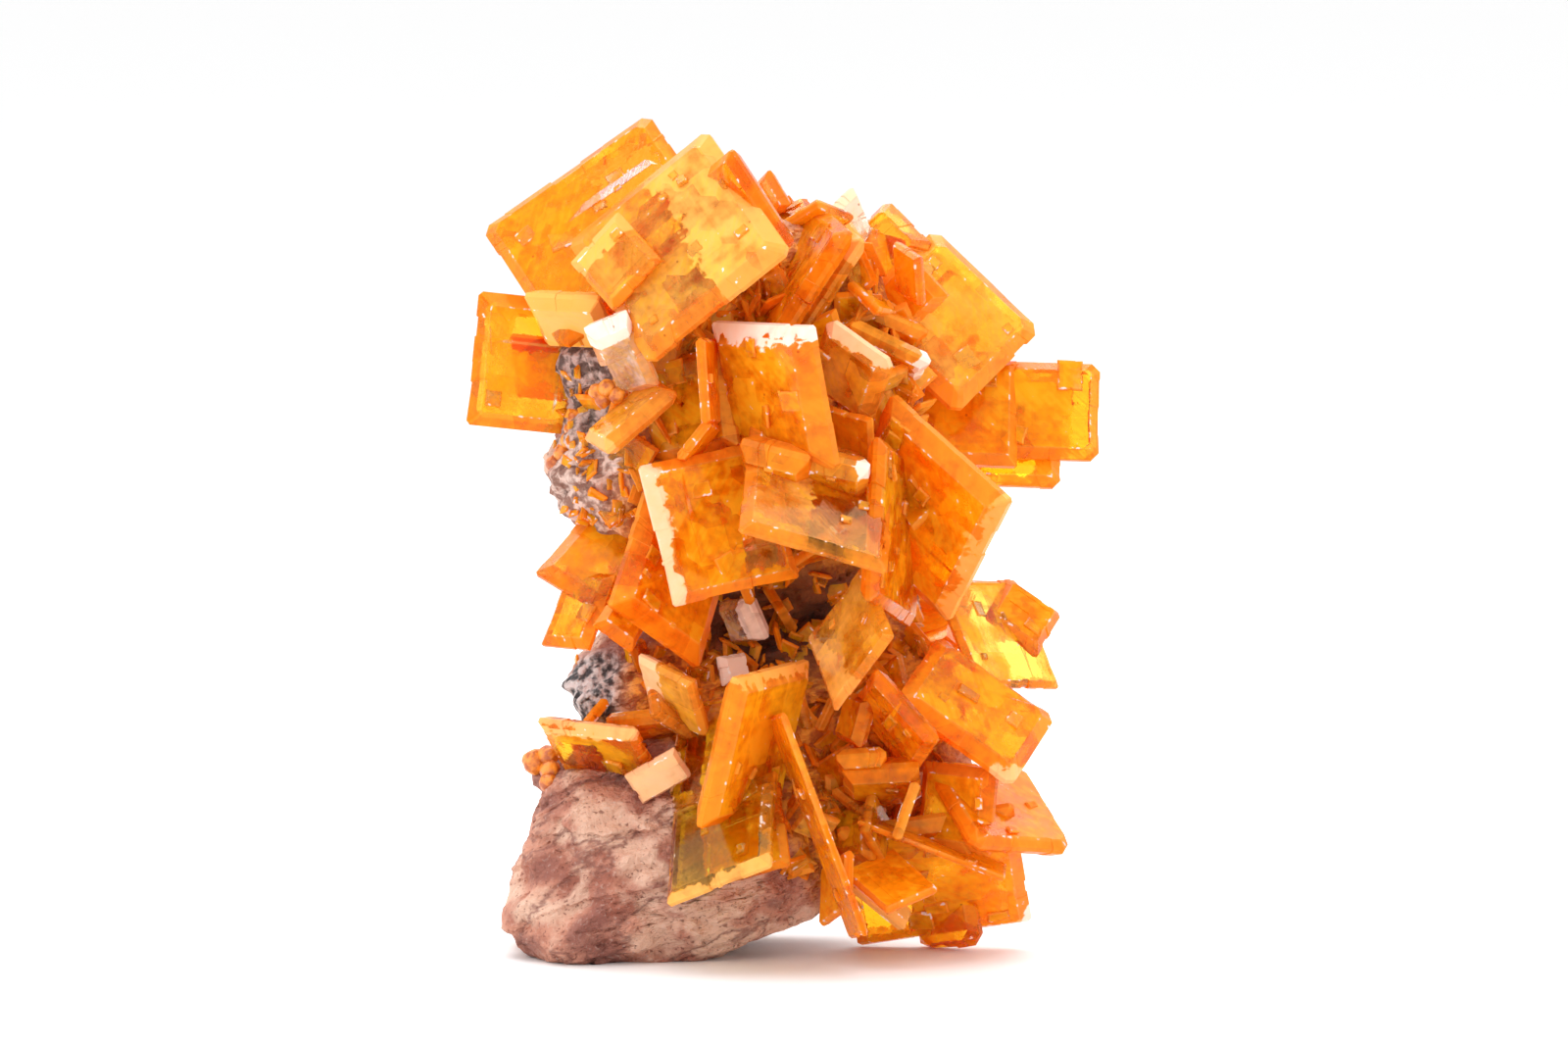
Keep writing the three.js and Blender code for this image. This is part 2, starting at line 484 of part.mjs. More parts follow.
// Materials
const finish = (color, roughness) => new THREE.MeshStandardMaterial({ color, roughness, metalness: 0 });
const MATRIX = finish(0xc79c8a, 0.9);
const WULFENITE = finish(0xff8a0a, 0.1);
const MIMETITE = finish(0xc86a14, 0.45);

// Assembly
const aboveSole = solidOf(new THREE.BoxGeometry(200, 200, 200).translate(0, 0, 100 + SOLE));
const specimen = new THREE.Group();
const sockets = [];

function add(name, solid, material) {
  const whole = largestBody(solid.intersect(aboveSole));
  const geometry = geometryOf(whole);
  geometry.computeBoundingBox();
  const middle = geometry.boundingBox.getCenter(new THREE.Vector3());
  const mesh = new THREE.Mesh(geometry.translate(-middle.x, -middle.y, -middle.z), material);
  mesh.name = name;
  mesh.position.copy(middle);
  specimen.add(mesh);
}

const solidAt = (geometry, at, y) => solidOf(geometry.translate(...seen(at, y).point.toArray()));

for (const [name, beads] of Object.entries(BEADS)) {
  const lumps = beads.map(([at, y, radius]) => solidAt(new THREE.DodecahedronGeometry(radius), at, y));
  const about = beads.map(([at, y, radius]) => [at, y, (radius + GAP) * ROUND_ABOUT]);
  add(name, joined(lumps), MIMETITE);
  sockets.push(...about.map(([at, y, radius]) => solidAt(new THREE.IcosahedronGeometry(radius), at, y)));
}

for (const [name, plates] of Object.entries(CRYSTALS)) {
  const grown = joined(plates.map((one) => tabletSolid(one)));
  add(name, grown.subtract(joined(sockets)), WULFENITE);
  sockets.push(...plates.map((one) => blockSolid(one, GAP)));
}

const small = [...CLUMPS, ...BACK_CLUMPS].flatMap(clumpPlates);
const rock = joined([rockBody(), ...small.map((one) => blockSolid(one, 0))]);
add("matrix", rock.subtract(joined(sockets)), MATRIX);

export default specimen;
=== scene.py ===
# %% [markdown]
# # Wulfenite on matrix
#
# This notebook dresses a mineral specimen. The fixed frame already holds its solids: flat tablets of wulfenite, small
# round beads and a rock. Here the tablets get growth steps, veils and a see-through orange body, the rock gets its
# broken grain and the beads their waxy skin. Every length is in metres unless a name ends in MM.

# %% Start from the fixed frame
from math import cos, pi, radians, sin, sqrt, tau

import bpy
import numpy as np
from mathutils import Euler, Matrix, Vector
from mathutils.bvhtree import BVHTree


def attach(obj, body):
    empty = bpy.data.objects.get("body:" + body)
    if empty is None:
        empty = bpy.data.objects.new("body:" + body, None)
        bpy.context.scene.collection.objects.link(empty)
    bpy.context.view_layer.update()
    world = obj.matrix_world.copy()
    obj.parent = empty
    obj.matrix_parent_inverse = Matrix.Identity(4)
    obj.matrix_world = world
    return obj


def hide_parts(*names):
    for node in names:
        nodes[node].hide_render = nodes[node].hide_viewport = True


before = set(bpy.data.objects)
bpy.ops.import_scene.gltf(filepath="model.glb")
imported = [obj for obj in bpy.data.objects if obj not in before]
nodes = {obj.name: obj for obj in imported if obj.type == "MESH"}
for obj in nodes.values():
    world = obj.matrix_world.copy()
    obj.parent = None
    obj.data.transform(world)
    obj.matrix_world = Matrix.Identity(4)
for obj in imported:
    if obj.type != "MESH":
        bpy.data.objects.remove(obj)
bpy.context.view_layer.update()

print(len(nodes), "solids in the frame")

# %% [markdown]
# ## One line of sight for everything
#
# The tablets were measured in a single front view. A pixel fixes a line of sight, and a depth picks one point on it.
# The same eye later becomes the camera, so each tablet lands where it was measured. It could be placed by hand with
# the camera view open, but then a later change of scale would mean doing it all again.

# %% The front view
MM = 0.001
HEIGHT_MM = 60.5
MID_X, MID_Y = 800, 533.5  # the middle of the picture, in pixels
STANDS_AT_X, FOOT, TOP = 640, 982, 117
MM_PER_PIXEL = HEIGHT_MM / (FOOT - TOP)
EYE_DISTANCE_MM = 620
PITCH = radians(5)
FOOT_Y_MM = -6

RIGHT = Vector((1, 0, 0))
AHEAD = Vector((0, cos(PITCH), -sin(PITCH)))
UP = Vector((0, sin(PITCH), cos(PITCH)))
EYE = (
    Vector((0, FOOT_Y_MM, 0))
    - AHEAD * EYE_DISTANCE_MM
    + RIGHT * (MID_X - STANDS_AT_X) * MM_PER_PIXEL
    + UP * (FOOT - MID_Y) * MM_PER_PIXEL
)


def seen(pixel, y):
    """The point on a pixel's line of sight that stands y mm back, and how many mm a pixel spans there."""
    side, rise = (pixel[0] - MID_X) * MM_PER_PIXEL, (MID_Y - pixel[1]) * MM_PER_PIXEL
    sight = AHEAD * EYE_DISTANCE_MM + RIGHT * side + UP * rise
    reach = (y - EYE.y) / sight.y
    return EYE + sight * reach, MM_PER_PIXEL * reach


print("eye", [round(c, 1) for c in EYE])

# %% [markdown]
# ## Tablets from three corners
#
# A tablet is a right-angled slab. Three of its corners in the picture are enough: the depths of its two sides follow
# from the right angle and from the ratio of the sides, and of the two mirror answers the named one is kept. What the
# front doesn't show is given directly by a place and three turns.

# %% Where each tablet is
TOWARDS = {"left": -RIGHT, "right": RIGHT, "up": UP, "down": -UP}


def tablet(middle, u, v, thick, rim, cut=0):
    x = u.normalized()
    y = (v - x * v.dot(x)).normalized()
    w, h = u.length, v.length
    inset = min(0.8 * rim, 0.14 * w, 0.14 * h)
    return dict(middle=middle, x=x, y=y, z=x.cross(y), w=w, h=h, thick=thick, inset=inset, cut=cut)


def plate(a, b, c, y, thick=1.5, rim=1, faces="up", ratio=1, cut=0):
    point, scale = seen(((b[0] + c[0]) / 2, (b[1] + c[1]) / 2), y)
    u = ((b[0] - a[0]) * scale, (a[1] - b[1]) * scale)
    v = ((c[0] - a[0]) * scale, (a[1] - c[1]) * scale)
    uu, vv = u[0] ** 2 + u[1] ** 2, v[0] ** 2 + v[1] ** 2
    uv = u[0] * v[0] + u[1] * v[1]
    lack = ratio**2 * uu - vv
    u_deep = sqrt((sqrt(lack**2 + 4 * ratio**2 * uv**2) - lack) / (2 * ratio**2))
    v_deep = (-1 if uv >= 0 else 1) * sqrt(max(0, ratio**2 * (uu + u_deep**2) - vv))
    answers = [
        [RIGHT * flat[0] + UP * flat[1] + AHEAD * deep * sign for flat, deep in ((u, u_deep), (v, v_deep))]
        for sign in (1, -1)
    ]
    normal = answers[0][0].cross(answers[0][1])
    first = normal.dot(AHEAD) * normal.dot(TOWARDS[faces]) <= 0
    return tablet(point, *answers[0 if first else 1], thick, rim, cut)


def placed(at, size, thick=1.5, rim=1, turn=0, tilt=0, spin=0, cut=0):
    spun = Euler((0, radians(spin), 0)).to_matrix()
    tilted = Euler((radians(90 - tilt), 0, 0)).to_matrix()
    pose = Euler((0, 0, radians(turn))).to_matrix() @ tilted @ spun
    return tablet(Vector(at), pose @ Vector((size, 0, 0)), pose @ Vector((0, 0, size)), thick, rim, cut)


# A plate: its corner and the two beside it in pixels, then in mm how far back its middle is, its thickness and its
# bevel, and the side that it faces. The ratio is that of its second side to its first.
CRYSTALS = {
    "window_plate": [plate((904, 585), (754, 542), (915, 474), -10.5, 1.2, 1, "up")],
    "pearl_plate": [plate((688, 619), (815, 591), (652, 476), -8.6, 1.3, 1, "up")],
    "crown_front_plates": [
        plate((722, 132), (807, 258), (579, 247), -6, 2, 1.3, "left", cut=0.5),
        plate((747, 154), (810, 250), (689, 198), -4.7, 1.5, 0.6, "left"),
        plate((631, 216), (582, 268), (676, 266), -6.6, 1.1, 0.7, "left"),
    ],
    "crown_left_plates": [
        plate((662, 115), (491, 234), (746, 240), 1, 1.8, 1, "up", ratio=0.85, cut=0.6),
        plate((536, 301), (612, 305), (556, 346), -2.5, 1.8, 0.8, "down"),
    ],
    "sparkling_block": [
        plate((596, 337), (640, 318), (612, 372), -7.4, 2.2, 0.8, "down"),
        plate((612, 348), (648, 338), (636, 403), -6.6, 1.2, 0.5, "left"),
    ],
    "centre_plate": [
        plate((728, 327), (829, 334), (754, 470), -8.4, 2.4, 1.7, "left", ratio=1),
        plate((714, 345), (720, 433), (730, 345), -7.4, 0.7, 0.3, "right"),
        plate((724, 428), (692, 468), (734, 434), -8, 0.7, 0.3, "down"),
        plate((756, 450), (826, 468), (760, 488), -9.2, 2.4, 0.9, "down"),
        plate((820, 462), (887, 476), (820, 500), -9, 2.2, 0.9, "down"),
    ],
    "right_of_centre_plate": [
        plate((847, 324), (911, 370), (825, 388), -4.6, 2, 1.2, "left", cut=0.5),
    ],
    "thin_right_plate": [plate((845, 413), (890, 427), (848, 470), -5.4, 0.7, 0.3, "left")],
    "lower_centre_plates": [
        plate((749, 690), (824, 673), (713, 843), -9.6, 1.8, 1.2, "right"),
        plate((696, 720), (682, 831), (768, 706), -6.4, 0.9, 0.4, "left"),
    ],
    "olive_plates": [
        plate((787, 881), (682, 924), (793, 787), -11.2, 1.3, 0.9, "up"),
        plate((807, 882), (728, 905), (796, 797), -9, 1, 0.6, "up"),
    ],
    "hidden_plate": [plate((623, 617), (711, 682), (658, 500), -6.2, 1.9, 1.5, "up")],
    "right_front_plates": [
        plate((911, 402), (1030, 511), (851, 525), -3.5, 2.2, 1.4, "left"),
        plate((893, 446), (937, 474), (884, 612), -5.6, 1.4, 0.8, "right"),
        plate((930, 484), (984, 554), (922, 492), -4.4, 0.6, 0.2, "down", ratio=0.4),
    ],
    "diamond_plate": [plate((825, 653), (883, 575), (853, 726), -8.2, 0.9, 0.6, "left")],
    "lower_right_plates": [
        plate((957, 650), (1077, 735), (911, 716), -5.6, 1.9, 1.2, "up", ratio=0.8, cut=0.6),
        plate((893, 682), (871, 717), (957, 754), -8.2, 1.3, 0.8, "left"),
    ],
    "pale_plate": [plate((637, 791), (688, 762), (656, 820), -5.8, 1.1, 0.3, "left", ratio=0.6)],
    "long_blade": [plate((785, 732), (870, 959), (799, 726), -12, 0.5, 0.3, "left", ratio=0.36)],
    "left_plates": [
        plate((489, 297), (475, 433), (624, 311), 2.5, 1.5, 1.2, "right", cut=0.3),
        plate((520, 342), (526, 402), (588, 350), 4.6, 2, 0.6, "left"),
    ],
    "tongue_plate": [plate((597, 449), (668, 388), (620, 462), -7.6, 1.5, 0.7, "up", ratio=0.6)],
    "crown_stack": [
        plate((834, 202), (752, 328), (868, 240), -1.2, 1.6, 1, "left"),
        plate((853, 219), (776, 338), (880, 247), 0.9, 1.4, 0.8, "left"),
        plate((857, 212), (903, 276), (818, 274), 3, 1.4, 0.9, "up"),
    ],
    "top_spikes": [
        plate((785, 174), (765, 194), (806, 210), 3.4, 1, 0.4, "left"),
        plate((824, 203), (778, 224), (836, 226), 2.6, 1.1, 0.5, "up"),
        plate((806, 200), (784, 222), (822, 214), 4.6, 1, 0.4, "right"),
    ],
    "white_spike": [plate((869, 191), (840, 218), (890, 240), 6.2, 1.2, 0.6, "right")],
    "back_right_plate": [plate((908, 204), (846, 264), (953, 252), 8.4, 1.8, 1.2, "up", cut=0.5)],
    "right_upper_plates": [
        plate((953, 233), (1062, 337), (866, 320), 4.6, 1.9, 1.3, "right", cut=0.7),
        plate((927, 257), (888, 296), (968, 302), 1.6, 1.8, 1, "left"),
    ],
    "bar_plates": [
        plate((880, 311), (947, 339), (868, 337), -0.6, 1.3, 0.6, "down", ratio=0.8),
        plate((868, 331), (949, 370), (858, 346), -1.8, 1.3, 0.6, "down", ratio=0.8),
    ],
    "right_stepped_plates": [
        plate((1021, 369), (1123, 372), (1019, 468), 5.6, 1.9, 0.9, "right", cut=0.6),
        plate((976, 391), (1084, 395), (974, 495), 6.6, 1.9, 0.9, "right", cut=0.6),
        plate((925, 366), (1040, 369), (922, 474), 4.8, 2, 0.8, "right"),
    ],
    "left_middle_plates": [
        plate((546, 586), (611, 509), (630, 637), -0.5, 1.7, 1.4, "up"),
        plate((581, 583), (553, 659), (630, 587), -2.4, 1.3, 0.8, "left", ratio=0.8),
    ],
    "small_left_block": [plate((606, 637), (644, 665), (627, 602), -4.2, 1.9, 0.8, "up")],
    "pink_blades": [
        plate((652, 667), (708, 694), (668, 724), -5.6, 1, 0.4, "left"),
        plate((660, 690), (700, 716), (666, 728), -4.4, 1, 0.4, "right"),
    ],
    "left_low_plate": [plate((549, 733), (651, 744), (577, 789), -3.8, 1.3, 0.7, "down")],
    "left_low_block": [plate((619, 733), (694, 725), (622, 762), -2.4, 1.2, 0.5, "down")],
    "far_right_plates": [
        plate((1037, 593), (1081, 703), (950, 590), 2.4, 0.9, 0.5, "right"),
        plate((1083, 629), (1026, 590), (1056, 672), 5, 1.8, 0.8, "right", cut=0.3),
    ],
    "right_low_plates": [
        plate((942, 780), (1044, 789), (991, 861), -4.2, 1.6, 0.6, "right", cut=0.7),
        plate((945, 776), (936, 865), (1018, 784), -5.6, 1.6, 1, "left"),
    ],
    "bottom_right_plates": [
        plate((1055, 940), (876, 966), (1032, 818), -1.6, 1.7, 1.1, "down", cut=0.3),
        plate((943, 974), (930, 900), (1003, 962), 1.4, 1.8, 0.7, "left", cut=0.8),
    ],
    "peach_bar": [plate((866, 883), (929, 934), (860, 896), -5.2, 1, 0.3, "up", ratio=0.4)],
    "needle_plate": [plate((874, 838), (1024, 896), (878, 827), -6.2, 0.4, 0.2, "up", ratio=0.4)],
    "frosted_plate": [plate((889, 816), (892, 876), (848, 828), -5, 1.5, 0.6, "left")],
    "square_blocks": [
        plate((853, 772), (904, 768), (856, 790), -7.2, 1.5, 0.6, "down"),
        plate((858, 783), (937, 779), (862, 815), -6, 2, 0.9, "down"),
    ],
    "slanted_block": [plate((869, 706), (856, 754), (890, 714), -6.4, 1.3, 0.5, "left")],
    "recess_block": [plate((735, 614), (765, 609), (753, 656), -0.2, 1.8, 0.6, "left")],
    "recess_bright_block": [plate((732, 670), (758, 666), (738, 700), -1.8, 1.6, 0.5, "up")],
    "centre_left_plate": [plate((650, 372), (737, 352), (668, 474), -4.4, 1.6, 0.9, "left")],
    "back_upper_plate": [placed((9, 8.6, 49), 10, thick=1.7, rim=1.1, turn=165, tilt=40, spin=25, cut=0.5)],
    "back_upper_small_plate": [placed((2, 7.6, 44), 7, thick=1.3, rim=0.8, turn=215, tilt=20, spin=50)],
    "back_middle_plate": [placed((18, 10, 40), 9, thick=1.6, rim=1, turn=150, tilt=35, spin=12)],
    "back_middle_small_plate": [placed((17, 8, 32), 6.4, thick=1.2, rim=0.7, turn=205, tilt=-30, spin=40)],
    "back_low_plate": [placed((20, 9, 22), 9, thick=1.5, rim=0.9, turn=135, tilt=28, spin=35, cut=0.4)],
    "back_low_small_plate": [placed((14.5, 7.6, 14), 6.4, thick=1.1, rim=0.6, turn=190, tilt=-40, spin=15)],
}

# %% [markdown]
# ## Repeatable chance
#
# Natural things need scatter, but the same scatter on every run. One seeded generator per job does that.


# %% Chance
def chance(seed):
    return np.random.default_rng(seed)


def put(name, data):
    """A new object in the scene that shows this mesh, light or camera."""
    made = bpy.data.objects.new(name, data)
    bpy.context.collection.objects.link(made)
    return made


# %% [markdown]
# ## A detailed tablet
#
# Real wulfenite grows in layers, so its square outline steps in and out by a hair and its faces carry lower and
# higher terraces whose edges stay parallel to the outline. The tablet is a stack of rings: back face, bevel, a thin
# upright band, bevel, front face, then terraces. A sculpted or displaced face could show the same steps, but the
# rings keep the flats truly flat, and flats are what make crystal glint.
#
# Each point also remembers where it is in its own tablet, in mm. The material draws its zones and streaks from that,
# so they run along the crystal and not across the world.

# %% Tablet rings
BAND = 0.22


def outline(w, h, cut, rng, ragged):
    """A square's outline, corner by corner, with layers that stop short here and there."""
    points = []
    corners = [(-1, -1), (1, -1), (1, 1), (-1, 1)]
    for i, (sx, sy) in enumerate(corners):
        nx, ny = corners[(i + 1) % 4]
        ahead = np.array([nx - sx, ny - sy]) / 2
        inward = np.array([-ahead[1], ahead[0]])
        long = w if i % 2 == 0 else h
        start = np.array([sx * w / 2, sy * h / 2])
        trim = cut if cut else 0.02 * long
        steps = sorted(rng.uniform(0.12, 0.88, 4))
        depth = 0.0
        points.append(start + ahead * trim)
        for s in steps:
            new = abs(rng.normal(0, ragged)) if rng.random() < 0.6 else 0.0
            new = min(new, 0.05 * min(w, h))
            points.append(start + ahead * s * long + inward * depth)
            points.append(start + ahead * (s * long + abs(new - depth) * 0.6 + 0.01) + inward * new)
            depth = new
        points.append(start + ahead * (long - trim) + inward * depth * 0.3)
    return np.array(points)


def tablet_mesh(t, rng, ragged=0.09, terraces=2):
    """Points (mm), faces and the place of each point in its tablet."""
    w, h, thick = t["w"], t["h"], t["thick"]
    ring = outline(w, h, t["cut"], rng, ragged)
    inset = t["inset"]
    inner = ring * (1 - 2 * inset / np.array([w, h]))
    band = thick * BAND / 2
    layers = [(inner, -thick / 2), (ring, -band), (ring, band), (inner, thick / 2)]
    top, level = inner, thick / 2
    for i in range(terraces):
        corner = np.array([rng.choice([-1, 1]) * w, rng.choice([-1, 1]) * h]) * 0.32
        shrink = rng.uniform(0.55, 0.9)
        top = corner * (1 - shrink) + top * shrink
        rise = rng.choice([-1, 1]) * rng.uniform(0.02, 0.07) * min(1, thick)
        layers += [(top, level), (top, level + rise)]
        level += rise
    n = len(ring)
    flat = np.concatenate([np.column_stack([xy, np.full(n, z)]) for xy, z in layers])
    faces = [tuple(range(n))[::-1]]
    for k in range(len(layers) - 1):
        a, b = k * n, (k + 1) * n
        faces += [(a + i, a + (i + 1) % n, b + (i + 1) % n, b + i) for i in range(n)]
    faces.append(tuple(range(len(flat) - n, len(flat))))
    axes = np.array([t["x"], t["y"], t["z"]])
    return flat @ axes + np.array(t["middle"]), faces, flat


PLAIN = dict(shade="orange", cloud=0.7, hue=0.5, pane=(0, 0), pane_size=(0, 0), painted_sheen=(0, 0, 2), painted_sheen_strength=0)


def crystal_piece(name, tablets, materials, seed, ragged=0.09, terraces=2):
    """One object of many tablets. Every point carries its tablet's numbers for the material to read."""
    points, faces, wears = [], [], []
    carried = {key: [] for key in ("own", "half", "nature", "pane", "pane_size", "painted_sheen")}
    for i, t in enumerate(tablets):
        t = PLAIN | t
        rng = chance(seed * 100 + i)
        p, f, flat = tablet_mesh(t, rng, ragged, terraces)
        p[:, 2] = np.maximum(p[:, 2], 0)
        faces += [tuple(len(points) + k for k in face) for face in f]
        wears += [list(materials).index(t["shade"])] * len(f)
        points += p.tolist()
        rows = dict(
            own=flat.tolist(),
            half=[(t["w"] / 2, t["h"] / 2, t["inset"])] * len(flat),
            nature=[(t["cloud"], t["hue"], rng.uniform(0, 50))] * len(flat),
            pane=[(*t["pane"], t["painted_sheen_strength"])] * len(flat),
            pane_size=[(*t["pane_size"], 0)] * len(flat),
            painted_sheen=[t["painted_sheen"]] * len(flat),
        )
        for key, values in rows.items():
            carried[key] += values
    mesh = bpy.data.meshes.new(name)
    mesh.from_pydata([tuple(c * MM for c in p) for p in points], [], faces)
    for label, values in carried.items():
        mesh.attributes.new(label, "FLOAT_VECTOR", "POINT").data.foreach_set("vector", np.ravel(values))
    for material in materials.values():
        mesh.materials.append(material)
    mesh.polygons.foreach_set("material_index", wears)
    mesh.update()
    return put(name, mesh)


print(len(CRYSTALS), "crystal pieces to make")

# %% [markdown]
# ## Shader arithmetic
#
# A node tree for a pattern is mostly arithmetic. Wrapping a socket in a small class lets it be written as arithmetic:
# a + b makes an Add node. Any other node comes from one method that takes its type, its settings and its inputs.


# %% A small shader class
class Value:
    """One output of a node tree."""

    def __init__(self, look, socket):
        self.look, self.socket = look, socket

    def maths(self, operation, *others):
        return self.look.node("ShaderNodeMath", {"operation": operation}, dict(enumerate((self, *others))))

    def __add__(self, other):
        return self.maths("ADD", other)

    def __sub__(self, other):
        return self.maths("SUBTRACT", other)

    def __mul__(self, other):
        return self.maths("MULTIPLY", other)

    def __truediv__(self, other):
        return self.maths("DIVIDE", other)

    def __rsub__(self, other):
        return (self * -1) + other

    __radd__, __rmul__ = __add__, __mul__

    def least(self, other):
        return self.maths("MINIMUM", other)

    def most(self, other):
        return self.maths("MAXIMUM", other)

    def size(self):
        return self.maths("ABSOLUTE")

    def sign(self):
        return self.maths("SIGN")

    def rest(self):
        """What is left above the whole number below."""
        return self.maths("FRACT")

    def between(self, low, high):
        """0 below low, 1 above high, and a smooth rise in between."""
        values = {"Value": self, "From Min": low, "From Max": high}
        return self.look.node("ShaderNodeMapRange", {"interpolation_type": "SMOOTHSTEP"}, values)


class Look:
    """A material's node tree."""

    def __init__(self, name):
        self.material = bpy.data.materials.new(name)
        self.material.use_nodes = True
        self.tree = self.material.node_tree
        self.tree.nodes.clear()
        self.out = self.tree.nodes.new("ShaderNodeOutputMaterial")

    def node(self, kind, settings=None, values=None, out=0):
        made = self.tree.nodes.new(kind)
        for key, value in (settings or {}).items():
            setattr(made, key, value)
        for key, value in (values or {}).items():
            if isinstance(value, Value):
                self.tree.links.new(value.socket, made.inputs[key])
            else:
                made.inputs[key].default_value = value
        return Value(self, made.outputs[out])

    def apart(self, vector):
        made = self.node("ShaderNodeSeparateXYZ", None, {0: vector})
        return [Value(self, socket) for socket in made.socket.node.outputs]

    def place_in_mm(self):
        where = self.node("ShaderNodeNewGeometry")
        return self.node("ShaderNodeVectorMath", {"operation": "SCALE"}, {0: where, "Scale": 1 / MM})

    def vector(self, x, y, z):
        return self.node("ShaderNodeCombineXYZ", None, {0: x, 1: y, 2: z})

    def noise(self, vector, scale, detail=3):
        return self.node("ShaderNodeTexNoise", None, {"Vector": vector, "Scale": scale, "Detail": detail})

    def mix(self, factor, a, b):
        values = {"Factor": factor, "A": a, "B": b}
        made = self.tree.nodes.new("ShaderNodeMix")
        made.data_type = "RGBA"
        for socket in made.inputs:
            if socket.name in values and socket.enabled:
                value = values[socket.name]
                if isinstance(value, Value):
                    self.tree.links.new(value.socket, socket)
                else:
                    socket.default_value = value
        return Value(self, next(s for s in made.outputs if s.enabled))

    def join(self, factor, a, b):
        return self.node("ShaderNodeMixShader", None, {0: factor, 1: a, 2: b})

    def show(self, surface, volume=None):
        self.tree.links.new(surface.socket, self.out.inputs["Surface"])
        if volume:
            self.tree.links.new(volume.socket, self.out.inputs["Volume"])
        return self.material


# %% [markdown]
# ## Wulfenite
#
# The clear crystal is plain physics: full transmission, a high index of refraction, and a volume that absorbs blue
# quickly and green slowly. Thin places come out yellow and thick ones orange with no painted colour. A mask then
# mixes in a cloudy shader for veils and inclusions. The mask is built from square cells, because growth zones follow
# the outline, and from streaks along the layers. The cloudy shader's colour also holds painted light: a painted
# sheen on a chosen side, painted reflection and shade on the bevels, and small white painted glints.

# %% Wulfenite material
AMBER = (1, 0.6, 0.2, 1)  # the tint of a head-on reflection; a grazing one stays white
CLEAR_INDEX, VEILED_INDEX = 1.75, 1.36
MOST_VEILED = 0.95


